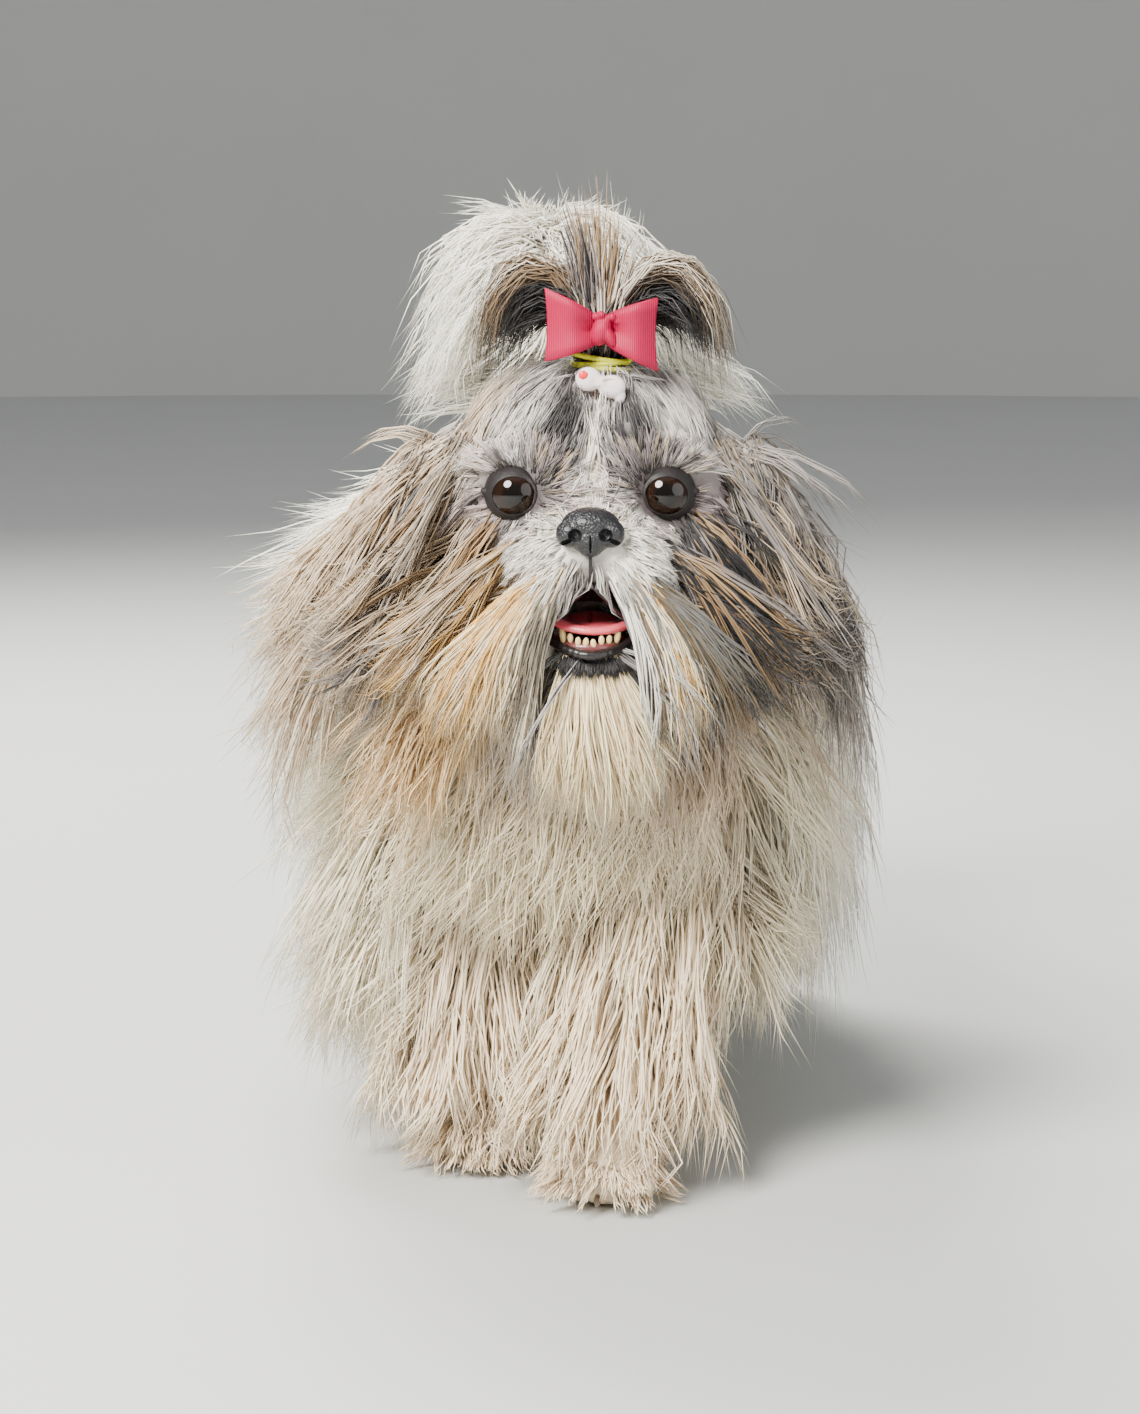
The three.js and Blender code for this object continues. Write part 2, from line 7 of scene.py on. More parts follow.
# %% Load the frame
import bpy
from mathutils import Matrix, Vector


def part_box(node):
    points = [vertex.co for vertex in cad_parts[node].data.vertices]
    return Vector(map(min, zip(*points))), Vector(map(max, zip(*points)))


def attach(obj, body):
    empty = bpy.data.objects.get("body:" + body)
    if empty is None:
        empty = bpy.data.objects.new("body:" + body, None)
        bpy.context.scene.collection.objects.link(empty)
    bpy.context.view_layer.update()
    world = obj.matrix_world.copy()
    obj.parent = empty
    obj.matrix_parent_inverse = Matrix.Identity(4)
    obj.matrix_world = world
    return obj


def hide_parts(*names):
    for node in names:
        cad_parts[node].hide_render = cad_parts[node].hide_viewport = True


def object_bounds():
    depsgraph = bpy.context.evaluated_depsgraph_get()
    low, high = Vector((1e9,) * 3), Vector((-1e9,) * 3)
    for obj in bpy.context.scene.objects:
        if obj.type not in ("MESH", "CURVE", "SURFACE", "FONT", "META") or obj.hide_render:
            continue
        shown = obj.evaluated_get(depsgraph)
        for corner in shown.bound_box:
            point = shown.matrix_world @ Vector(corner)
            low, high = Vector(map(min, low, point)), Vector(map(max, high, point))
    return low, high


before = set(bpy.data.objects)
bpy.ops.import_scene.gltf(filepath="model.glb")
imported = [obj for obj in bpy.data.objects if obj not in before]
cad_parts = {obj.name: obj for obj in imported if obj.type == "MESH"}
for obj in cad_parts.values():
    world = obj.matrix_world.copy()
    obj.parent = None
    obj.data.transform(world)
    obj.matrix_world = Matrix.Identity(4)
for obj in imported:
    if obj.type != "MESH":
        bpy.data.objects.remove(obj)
cad_box = [list(corner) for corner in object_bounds()]
import math
import bpy
import numpy as np
from mathutils import Vector
from mathutils.bvhtree import BVHTree

# %% [markdown]
# Sizes are written in millimetres from a point on the floor under the middle of the back, because
# that is how a dog is measured. One shift, read from the eyes of the solid model, turns them into
# the row's metres.

# %% Places
eye_low, eye_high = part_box("eye_left")
eye_low2, eye_high2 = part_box("eye_right")
eyes_middle = (eye_low + eye_high + eye_low2 + eye_high2) / 4
EYES_AHEAD = 212.5  # how far the eyes stand in front of the dog's own point
SHIFT = np.array([eyes_middle.x * 1000, eyes_middle.y * 1000 + EYES_AHEAD, 0.0])


def metres(p):
    return (np.asarray(p, float) + SHIFT) / 1000


def rgb(*c):
    return np.array(c, float)


def columns(x, y, z):
    """Many places or directions at once. Any of the three may be one number for all of them."""
    return np.stack(np.broadcast_arrays(x, y, z), 1)


print("shift from the dog's own point, mm:", SHIFT.round(2))

# %% Camera, floor and light
CAMERA_AT = [-7, -1570, 361]
CAMERA_TILT = 82.5  # degrees up from looking straight down
LENS, SENSOR = 98.7, 36
FLOOR_SIDE, BACKDROP_RADIUS, BACKDROP_HEIGHT, BACKDROP_SINK = 12, 5.6, 8, 0.1  # metres

bpy.ops.object.select_all(action="DESELECT")
bpy.ops.object.camera_add(location=metres(CAMERA_AT), rotation=(math.radians(CAMERA_TILT), 0, 0))
camera = bpy.context.object
camera.data.sensor_width = SENSOR
camera.data.lens = LENS
bpy.context.scene.camera = camera


def soft_light(name, at, aim, size, power, colour):
    bpy.ops.object.light_add(type="AREA", location=metres(at))
    lamp = bpy.context.object
    lamp.name = name
    lamp.data.shape = "DISK"
    lamp.data.size = size
    lamp.data.energy = power
    lamp.data.color = colour
    way = Vector(metres(aim) - metres(at))
    lamp.rotation_euler = way.to_track_quat("-Z", "Y").to_euler()


soft_light("key", [-900, -1500, 1500], [0, -50, 200], 1.0, 150, (1.0, 0.97, 0.92))
soft_light("fill", [1500, -1300, 700], [0, -50, 200], 1.8, 20, (0.97, 0.98, 1.0))
soft_light("rim", [-500, 1300, 1500], [0, 0, 250], 1.0, 95, (1.0, 0.97, 0.91))
world = bpy.data.worlds.new("studio")
bpy.context.scene.world = world
world.use_nodes = True
sky = world.node_tree.nodes["Background"].inputs
sky["Color"].default_value = (0.93, 0.95, 1.0, 1)
sky["Strength"].default_value = 0.75
bpy.ops.mesh.primitive_plane_add(size=FLOOR_SIDE, location=(0, 0, 0))
floor = bpy.context.object
floor.name = "floor"
bpy.ops.object.transform_apply(location=True)
bpy.ops.mesh.primitive_cylinder_add(
    vertices=96, radius=BACKDROP_RADIUS, depth=BACKDROP_HEIGHT, end_fill_type="NOTHING",
    location=(0, 0, BACKDROP_HEIGHT / 2 - BACKDROP_SINK),
)
backdrop = bpy.context.object
backdrop.name = "backdrop"
bpy.ops.object.transform_apply(location=True)
backdrop.visible_shadow = False

# %% [markdown]
# ## Materials
# Two node groups are shared. `fine_relief` puts out a small height for a bump, and `hair_lines` makes
# the thin lines along a strand from its own map, so that one strand reads as a few hairs.

# %% Node helpers
def set_sockets(node, sockets):
    for key, value in sockets.items():
        node.inputs[key.replace("_", " ")].default_value = value


def new_material(name, base, rough, **sockets):
    m = bpy.data.materials.new(name)
    m.use_nodes = True
    shader = m.node_tree.nodes["Principled BSDF"]
    set_sockets(shader, {"Base Color": (*base, 1), "Roughness": rough, **sockets})
    return m, m.node_tree.nodes, m.node_tree.links, shader


def add_node(nodes, kind, mode=None, **sockets):
    node = nodes.new("ShaderNode" + kind)
    if mode:
        node.operation = mode
    set_sockets(node, sockets)
    return node


def group(name, ins, outs):
    """An empty node group whose sockets are all numbers."""
    g = bpy.data.node_groups.new(name, "ShaderNodeTree")
    for label, value in ins:
        s = g.interface.new_socket(label, in_out="INPUT", socket_type="NodeSocketFloat")
        s.default_value = value
    for label in outs:
        g.interface.new_socket(label, in_out="OUTPUT", socket_type="NodeSocketFloat")
    return g, g.nodes.new("NodeGroupInput"), g.nodes.new("NodeGroupOutput")


def fine_relief_group():
    g, a, b = group("fine_relief", [("Size", 400.0), ("Low", 0.4)], ["Height", "Mask"])
    at = add_node(g.nodes, "TexCoord")
    noise = add_node(g.nodes, "TexNoise", Detail=5)
    cells = add_node(g.nodes, "TexVoronoi")
    ramp = add_node(g.nodes, "MapRange")
    add = add_node(g.nodes, "Math", "ADD")
    for texture in (noise, cells):
        g.links.new(at.outputs["Object"], texture.inputs["Vector"])
        g.links.new(a.outputs["Size"], texture.inputs["Scale"])
    g.links.new(noise.outputs["Fac"], add.inputs[0])
    g.links.new(cells.outputs["Distance"], add.inputs[1])
    g.links.new(add.outputs[0], b.inputs["Height"])
    g.links.new(noise.outputs["Fac"], ramp.inputs["Value"])
    g.links.new(a.outputs["Low"], ramp.inputs["From Min"])
    g.links.new(ramp.outputs["Result"], b.inputs["Mask"])
    return g


def hair_lines_group():
    g, a, b = group("hair_lines", [("Across", 9.0), ("Along", 1.5)], ["Lines"])
    at = add_node(g.nodes, "UVMap")
    at.uv_map = "Strand"
    pull = add_node(g.nodes, "CombineXYZ")
    times = add_node(g.nodes, "VectorMath", "MULTIPLY")
    noise = add_node(g.nodes, "TexNoise", Scale=1.0, Detail=2.0)
    g.links.new(a.outputs["Across"], pull.inputs["X"])
    g.links.new(a.outputs["Along"], pull.inputs["Y"])
    g.links.new(at.outputs["UV"], times.inputs[0])
    g.links.new(pull.outputs[0], times.inputs[1])
    g.links.new(times.outputs[0], noise.inputs["Vector"])
    g.links.new(noise.outputs["Fac"], b.inputs["Lines"])
    return g


fine_relief = fine_relief_group()
hair_lines = hair_lines_group()


def place_group(nodes, tree, **values):
    node = nodes.new("ShaderNodeGroup")
    node.node_tree = tree
    set_sockets(node, values)
    return node


def add_bump(nodes, links, shader, height, strength, distance):
    bump = add_node(nodes, "Bump", Strength=strength, Distance=distance)
    links.new(height, bump.inputs["Height"])
    links.new(bump.outputs["Normal"], shader.inputs["Normal"])


def shade_range(nodes, links, mask, dark, light, colour=None):
    """Multiplies a colour by a range of greys that a mask picks."""
    span = add_node(nodes, "MapRange", From_Min=0.3, From_Max=0.7, To_Min=dark, To_Max=light)
    links.new(mask, span.inputs["Value"])
    times = add_node(nodes, "VectorMath", "SCALE")
    links.new(span.outputs["Result"], times.inputs["Scale"])
    if colour is not None:
        links.new(colour, times.inputs[0])
    return times


# %% Floor finish
def plain_material(name, low, high):
    """A pale, almost even colour with a faint mottle."""
    m, nodes, links, shader = new_material(name, high, 0.8)
    mottle = place_group(nodes, fine_relief, Size=3.0)
    blend_rgb = nodes.new("ShaderNodeMix")
    blend_rgb.data_type = "RGBA"
    blend_rgb.inputs["A"].default_value = (*low, 1)
    blend_rgb.inputs["B"].default_value = (*high, 1)
    links.new(mottle.outputs["Mask"], blend_rgb.inputs["Factor"])
    links.new(blend_rgb.outputs["Result"], shader.inputs["Base Color"])
    return m


pale = plain_material("pale_floor", (0.52, 0.53, 0.52), (0.54, 0.55, 0.54))
floor.data.materials.append(pale)
backdrop.data.materials.append(pale)

# %% Finishes of hair and skin
def coat_material():
    m, nodes, links, shader = new_material(
        "coat_hair", (0.8, 0.8, 0.8), 0.46, Specular_IOR_Level=0.35, Sheen_Weight=0.12, Sheen_Roughness=0.4,
    )
    colour = nodes.new("ShaderNodeAttribute")
    colour.attribute_name = "marking_and_shade"
    lines = place_group(nodes, hair_lines)
    shaded = shade_range(nodes, links, lines.outputs["Lines"], 0.9, 1.12, colour.outputs["Color"])
    links.new(shaded.outputs["Vector"], shader.inputs["Base Color"])
    add_bump(nodes, links, shader, lines.outputs["Lines"], 0.35, 0.0004)
    return m


def skin_material():
    m, nodes, links, shader = new_material("skin", (0.6, 0.5, 0.45), 0.7)
    colour = nodes.new("ShaderNodeAttribute")
    colour.attribute_name = "marking_and_shade"
    relief = place_group(nodes, fine_relief, Size=500.0)
    shaded = shade_range(nodes, links, relief.outputs["Height"], 0.75, 1.05, colour.outputs["Color"])
    links.new(shaded.outputs["Vector"], shader.inputs["Base Color"])
    add_bump(nodes, links, shader, relief.outputs["Height"], 0.5, 0.0004)
    return m


coat_look = coat_material()
skin_look = skin_material()

# %% [markdown]
# ## Markings
# The coat is white on the body, cream on chest and legs, gold in the beard and moustache, and grey to
# charcoal over the head. One function gives the colour of any place, with some painted shade round the eyes,
# and skin and hair both ask it.

# %% Markings
WHITE = rgb(0.96, 0.91, 0.80)
CREAM = rgb(0.93, 0.77, 0.50)
PEACH = rgb(0.92, 0.73, 0.52)
GOLD = rgb(0.72, 0.42, 0.12)
TAN = rgb(0.34, 0.21, 0.10)
BEIGE = rgb(0.60, 0.46, 0.31)
GREY = rgb(0.24, 0.205, 0.185)
MAUVE = rgb(0.42, 0.33, 0.33)
CHARCOAL = rgb(0.018, 0.016, 0.016)
EYES = {"left": np.array([26.5, -EYES_AHEAD, 258]), "right": np.array([-26.5, -EYES_AHEAD, 258])}


def soft(value, low, high):
    return np.clip((value - low) / (high - low), 0, 1)


def near(p, x, z, wide, high):
    """1 at a place of the face, falling to 0 at an oval round it."""
    d = np.sqrt(((p[:, 0] - x) / wide) ** 2 + ((p[:, 2] - z) / high) ** 2)
    return np.clip(1.6 * (1 - d), 0, 1)


def tint(colour, other, share):
    return colour + (other - colour) * np.asarray(share)[:, None]


def wobble(p, size, seed):
    """A smooth waviness in space, from -1 to 1."""
    rng = np.random.default_rng(seed)
    total = np.zeros(len(p))
    for k in range(5):
        way = rng.normal(size=3)
        total += np.sin(p @ way / size * (1 + 0.4 * k) + rng.uniform(0, 6.3))
    return total / 3.2


def marking_and_shade(p):
    """The coat's colour at places p, in the dog's own millimetres, with painted shade round the eyes."""
    x, y, z = p[:, 0], p[:, 1], p[:, 2]
    w = wobble(p, 14, 3) * 3
    c = np.tile(WHITE, (len(p), 1))
    c = tint(c, CREAM, soft(-y, 60, 140) * soft(235 - z, 0, 60) * 0.75)
    c = tint(c, PEACH, soft(150 - z, 0, 100) * soft(-y, 30, 90) * 0.55)
    head = soft(-y + 0.37 * (z - 130), 178, 190) * soft(z, 185, 200)
    h = np.tile(rgb(0.66, 0.62, 0.58), (len(p), 1))
    side = soft(np.abs(x) + w, 33, 46)
    h = tint(h, BEIGE, side * (x < 0) * 0.9)
    h = tint(h, GREY, side * (x >= 0) * 0.8)
    h = tint(h, MAUVE, near(p, -36, 254, 16, 15) * 0.7)
    h = tint(h, MAUVE * 0.8, near(p, 38, 254, 17, 16) * 0.9)
    h = tint(h, CHARCOAL * 1.8, near(p, -12 + 0.3 * w, 273, 11, 23))
    h = tint(h, CHARCOAL * 1.8, near(p, 17 + 0.3 * w, 271, 15, 21))
    h = tint(h, rgb(0.93, 0.84, 0.70), near(p, 1.5, 268, 4.6, 26))
    h = tint(h, WHITE, near(p, 0, 242, 30 + w, 22))
    h = tint(h, GOLD, near(p, -33, 214, 20, 28) * 0.8)
    h = tint(h, TAN, near(p, 36, 214, 18, 26) * 0.7)
    h = tint(h, GREY * 0.6, near(p, -1, 231, 13, 10) * 0.9)
    # Dark round each eye, out to about 15 mm: partly the dog's dark eye rims, partly painted shade so that
    # the gaps between the hairs there read as shadow.
    for eye in EYES.values():
        rim = np.linalg.norm((p - eye)[:, [0, 2]] * [1, 1.05], axis=1)
        h = tint(h, rgb(0.05, 0.035, 0.035), (1 - soft(rim, 9.5, 15.0)) * (y < -185))
    h = tint(h, CHARCOAL, near(p, 0, 203, 17, 7))
    h = tint(h, CHARCOAL * 1.6, soft(z + w, 284, 298) * soft(np.abs(x), 12, 30))
    return c + (h - c) * head[:, None]


print("markings ready")

# %% [markdown]
# ## Skin
# Under the coat the dog has one skin over barrel, neck, head, jaw, ears, legs and tail. It is blocked out
# from round forms along each bone line, as a sculptor does, fused by a voxel remesh and then smoothed.

# %% Sculpting helpers
def deselect():
    if bpy.context.mode != "OBJECT":
        bpy.ops.object.mode_set(mode="OBJECT")
    bpy.ops.object.select_all(action="DESELECT")


def apply_all(o):
    deselect()
    o.select_set(True)
    bpy.context.view_layer.objects.active = o
    for m in list(o.modifiers):
        bpy.ops.object.modifier_apply(modifier=m.name)
    bpy.ops.object.transform_apply(location=True, rotation=True, scale=True)


def add_ball(at, r, turn=(0, 0, 0), fine=3):
    deselect()
    bpy.ops.mesh.primitive_ico_sphere_add(subdivisions=fine, radius=1, location=metres(at), rotation=turn)
    o = bpy.context.object
    o.scale = np.asarray(r) / 1000
    return o


def fuse(parts, name):
    deselect()
    for o in parts:
        o.select_set(True)
    bpy.context.view_layer.objects.active = parts[0]
    bpy.ops.object.join()
    o = bpy.context.object
    o.name = name
    bpy.ops.object.transform_apply(location=True, rotation=True, scale=True)
    return o


def blend(o, voxel, smoothing):
    """Runs overlapping forms into one, with a voxel in millimetres."""
    remesh = o.modifiers.new("remesh", "REMESH")
    remesh.mode = "VOXEL"
    remesh.voxel_size = voxel / 1000
    smooth = o.modifiers.new("smooth", "SMOOTH")
    smooth.iterations = smoothing
    apply_all(o)
    return o


def carve(o, cutter):
    cut = o.modifiers.new("cut", "BOOLEAN")
    cut.operation = "DIFFERENCE"
    cut.object = cutter
    cut.solver = "EXACT"
    apply_all(o)
    bpy.data.objects.remove(cutter)


def between(a, b, t):
    return np.asarray(a, float) + (np.asarray(b, float) - np.asarray(a, float)) * t


def along(points, t):
    """A place on a smooth line through points, t from 0 to 1 (Catmull-Rom)."""
    p = np.asarray(points, float)
    p = np.vstack([2 * p[0] - p[1], p, 2 * p[-1] - p[-2]])
    s = np.clip(np.asarray(t, float), 0, 1) * (len(p) - 3)
    i = np.minimum(s.astype(int), len(p) - 4)
    f = (s - i)[..., None]
    a, b, c, d = p[i], p[i + 1], p[i + 2], p[i + 3]
    return 0.5 * (2 * b + (c - a) * f + (2 * a - 5 * b + 4 * c - d) * f**2 + (3 * b - a - 3 * c + d) * f**3)


def bone(points, radii, count):
    """Overlapping balls along a bone line."""
    out = []
    for t in np.linspace(0, 1, count):
        at = along(points, np.array([t]))[0]
        s = t * (len(radii) - 1)
        i = min(int(s), len(radii) - 2)
        out.append(add_ball(at, between(radii[i], radii[i + 1], s - i), fine=2))
    return out


# %% Bone lines
LEGS = {
    "foreleg_left": ([37, -92, 178], [22, -136, 92], [7, -190, 18]),
    "foreleg_right": ([-37, -92, 178], [-40, -111, 92], [-42, -134, 18]),
    "hindleg_left": ([42, 118, 172], [51, 141, 92], [60, 168, 18]),
    "hindleg_right": ([-42, 112, 172], [-46, 101, 92], [-50, 88, 18]),
}
SPINE = [[0, -118, 195], [0, -60, 191], [0, 60, 193], [0, 140, 199], [0, 172, 201]]
NECK = [[0, -186, 258], [0, -150, 240], [0, -112, 205], [0, -96, 178]]
TAIL = [[0, 158, 240], [-2, 176, 285], [-9, 165, 328], [-16, 128, 344], [-18, 88, 332], [-18, 62, 306]]

TOES = (-1.5, -0.5, 0.5, 1.5)
MOUTH_AT, MOUTH_SIZE = np.array([0, -234, 217.5]), np.array([13.5, 24, 11.5])

# %% Skin mesh
def make_skin():
    parts = bone(SPINE, [[46, 40, 48], [61, 44, 60], [61, 44, 57], [54, 40, 50], [28, 26, 30]], 12)
    parts += bone(NECK, [[34, 30, 32], [38, 30, 34], [44, 34, 42], [42, 32, 40]], 7)
    parts += bone(TAIL, [[11, 11, 11], [8, 8, 8], [7, 7, 7], [6, 6, 6], [4, 4, 4], [2.5, 2.5, 2.5]], 26)
    for name, line in LEGS.items():
        thick = [22, 17, 13, 13] if "hind" in name else [19, 15, 13, 13]
        parts += bone(line, [[r, r, r] for r in thick], 14)
        x, y, _ = line[2]
        parts.append(add_ball([x, y - 4, 10], [17, 22, 12]))
        for k in TOES:
            parts.append(add_ball([x + k * 8, y - 19 + abs(k) * 4, 7], [5.6, 9.5, 6.5], fine=2))
    parts.append(add_ball([0, -178, 254], [55, 45, 45], fine=4))
    parts.append(add_ball([0, -221, 235], [30, 20, 18]))
    for s in (1, -1):
        parts.append(add_ball([s * 13, -228, 231], [14, 13, 13]))
        parts.append(add_ball([s * 34, -190, 222], [16, 24, 24]))
        parts.append(add_ball([s * 26.5, -208, 268], [14, 8.5, 6]))
        parts.append(add_ball([s * 57, -170, 260], [9, 12, 13]))
        parts.append(add_ball([s * 66, -163, 250], [3.5, 15, 29], turn=(0, -0.3 * s, 0)))
    parts.append(add_ball([0, -211, 201], [17, 22, 9.5]))
    parts.append(add_ball([0, -228, 203.5], [13, 6.5, 4.6]))
    skin = blend(fuse(parts, "skin"), 2.4, 5)
    carve(skin, add_ball(MOUTH_AT, MOUTH_SIZE, fine=4))
    deselect()
    skin.select_set(True)
    bpy.context.view_layer.objects.active = skin
    bpy.ops.object.shade_smooth()
    bpy.ops.object.mode_set(mode="EDIT")
    bpy.ops.mesh.select_all(action="SELECT")
    bpy.ops.uv.smart_project(angle_limit=math.radians(66), island_margin=0.002)
    bpy.ops.object.mode_set(mode="OBJECT")
    skin.data.uv_layers[0].name = "OFBake"
    return skin


skin = make_skin()
skin.data.materials.clear()
skin.data.materials.append(skin_look)
skin_xyz = np.zeros(len(skin.data.vertices) * 3)
skin.data.vertices.foreach_get("co", skin_xyz)
skin_xyz = skin_xyz.reshape(-1, 3) * 1000 - SHIFT
print("skin faces:", len(skin.data.polygons))

# %% [markdown]
# The skin carries the markings too, so that it never shows as another colour between the hairs. It is a
# little darker than the hair, painted shade between the hairs, and near black inside the open mouth, painted
# shade. Its unwrap also gives each hair a small place of its own for its baked colour.

# %% Markings on the skin, and its unwrap
def paint(o, colours):
    layer = o.data.color_attributes.new("marking_and_shade", "FLOAT_COLOR", "POINT")
    rgba = np.ones((len(colours), 4), np.float32)
    rgba[:, :3] = colours
    layer.data.foreach_set("color", rgba.ravel())


# Painted shade: the skin takes the coat's colour at 0.8, darker where it shows between the hairs.
skin_colour_and_shade = marking_and_shade(skin_xyz) * 0.8
in_mouth = np.linalg.norm((skin_xyz - MOUTH_AT) / MOUTH_SIZE, axis=1) < 1.06
# Painted shade: the skin inside the open mouth is near black.
skin_colour_and_shade[in_mouth] = (0.035, 0.010, 0.010)
paint(skin, skin_colour_and_shade)
loop_vertex = np.zeros(len(skin.data.loops), int)
skin.data.loops.foreach_get("vertex_index", loop_vertex)
loop_uv = np.zeros(len(skin.data.loops) * 2)
skin.data.uv_layers[0].data.foreach_get("uv", loop_uv)
skin_uv = np.zeros((len(skin_xyz), 2))
skin_uv[loop_vertex] = loop_uv.reshape(-1, 2)

skin_faces = [tuple(f.vertices) for f in skin.data.polygons]
skin_tree = BVHTree.FromPolygons([Vector(p) for p in skin_xyz], skin_faces)


def on_skin(points):
    """The nearest place of the skin, its outward direction, and its place on the unwrap."""
    at, out, uv = [], [], []
    for p in points:
        place, normal, face, _ = skin_tree.find_nearest(Vector(p))
        at.append(place)
        out.append(normal)
        uv.append(skin_uv[skin_faces[face][0]])
    return np.array(at), np.array(out), np.array(uv)


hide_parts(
    "torso", "neck", "head", "jaw", "ear_left", "ear_right", "tail", *LEGS,
    "forepaw_left", "forepaw_right", "hindpaw_left", "hindpaw_right",
)
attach(skin, "root")

# %% [markdown]
# ## The coat
# A hair is a thin closed strand with three sides. Strands share a lock, which is one smooth curve from
# its root to its tip, so the coat parts and overlaps as real hair does. Everything is worked out in
# arrays and joined into a few meshes.

# %% Strands from locks
def unit(v):
    return v / np.maximum(np.linalg.norm(v, axis=-1, keepdims=True), 1e-9)


class Locks:
    """Locks gathered for one mesh: four control points each, and how their strands lie."""

    def __init__(self, seed):
        self.rows = []
        self.rng = np.random.default_rng(seed)

    def add(self, a, b, c, d, colour, out, strands, width, spread, tip=0.3, wave=2.0, fly=3.0, dark=0.0):
        row = dict(a=a, b=b, c=c, d=d)
        row["colour"], row["out"] = np.broadcast_to(colour, a.shape), np.broadcast_to(out, a.shape)
        lie = dict(strands=strands, width=width, spread=spread, tip=tip, wave=wave, fly=fly, dark=dark)
        for key, value in lie.items():
            row[key] = np.broadcast_to(value, len(a))
        self.rows.append(row)

    def table(self):
        return {k: np.concatenate([r[k] for r in self.rows]) for k in self.rows[0]}


# Ovals seen from the front: x, z, half width, half height. Only hair in front of the last number moves.
EYE_GUARDS = [[26.9, 257.8, 8.7, 7.7, -200], [-26.9, 257.8, 8.7, 7.7, -200]]
NOSE_GUARD = [0, 247, 11.6, 9.0, -234]
MOUTH_GUARDS = [[0, 212, 13.6, 7.6, -222], [0, 219.5, 7.5, 7.5, -228]]
CLIP_GUARD = [4, 296.5, 11, 5.5, -198]
EYE_OPEN, ROOT_OPEN = 0.9, 0.97  # the share of an eye's oval that stays free of strands, and of roots
MOST_MOVED = 5  # a strand that would have to move further aside is left out
FLOOR_CLEAR = 1.5  # hair lies on the floor instead of passing through it
SIDE_ROOM = 3  # how far hair may pass the solid model's box before it is drawn back
REACH_X = [cad_box[0][0] * 1000 - SHIFT[0] - SIDE_ROOM, cad_box[1][0] * 1000 - SHIFT[0] + SIDE_ROOM]
PATCH = 0.003  # the side of a strand's own place on the skin's unwrap
PULL_IN = 0.65  # how much of what passes REACH_X at the sides is drawn back


def keep_clear(path):
    """Moves hair aside from eyes, nose, mouth and clip, as seen from the front."""
    for x, z, wide, high, deep in [*EYE_GUARDS, NOSE_GUARD, *MOUTH_GUARDS, CLIP_GUARD]:
        gap = (path[..., [0, 2]] - [x, z]) / [wide, high]
        away = np.linalg.norm(gap, axis=-1, keepdims=True)
        push = np.clip(1 - away, 0, None) * (path[..., 1:2] < deep)
        step = gap / np.maximum(away, 0.05) * push * [wide, high]
        path = path + np.stack([step[..., 0], np.zeros(step.shape[:-1]), step[..., 1]], -1)
    return path


def over_eye(path):
    """Which strands still cross an eye: they are left out."""
    fine = np.concatenate([path[:, :-1] + (path[:, 1:] - path[:, :-1]) * f for f in (0.0, 0.33, 0.67)], 1)
    hit = np.zeros(len(path), bool)
    for x, z, wide, high, deep in EYE_GUARDS:
        away = np.linalg.norm((fine[..., [0, 2]] - [x, z]) / [wide, high], axis=-1)
        hit |= ((away < EYE_OPEN) & (fine[..., 1] < deep)).any(1)
    return hit


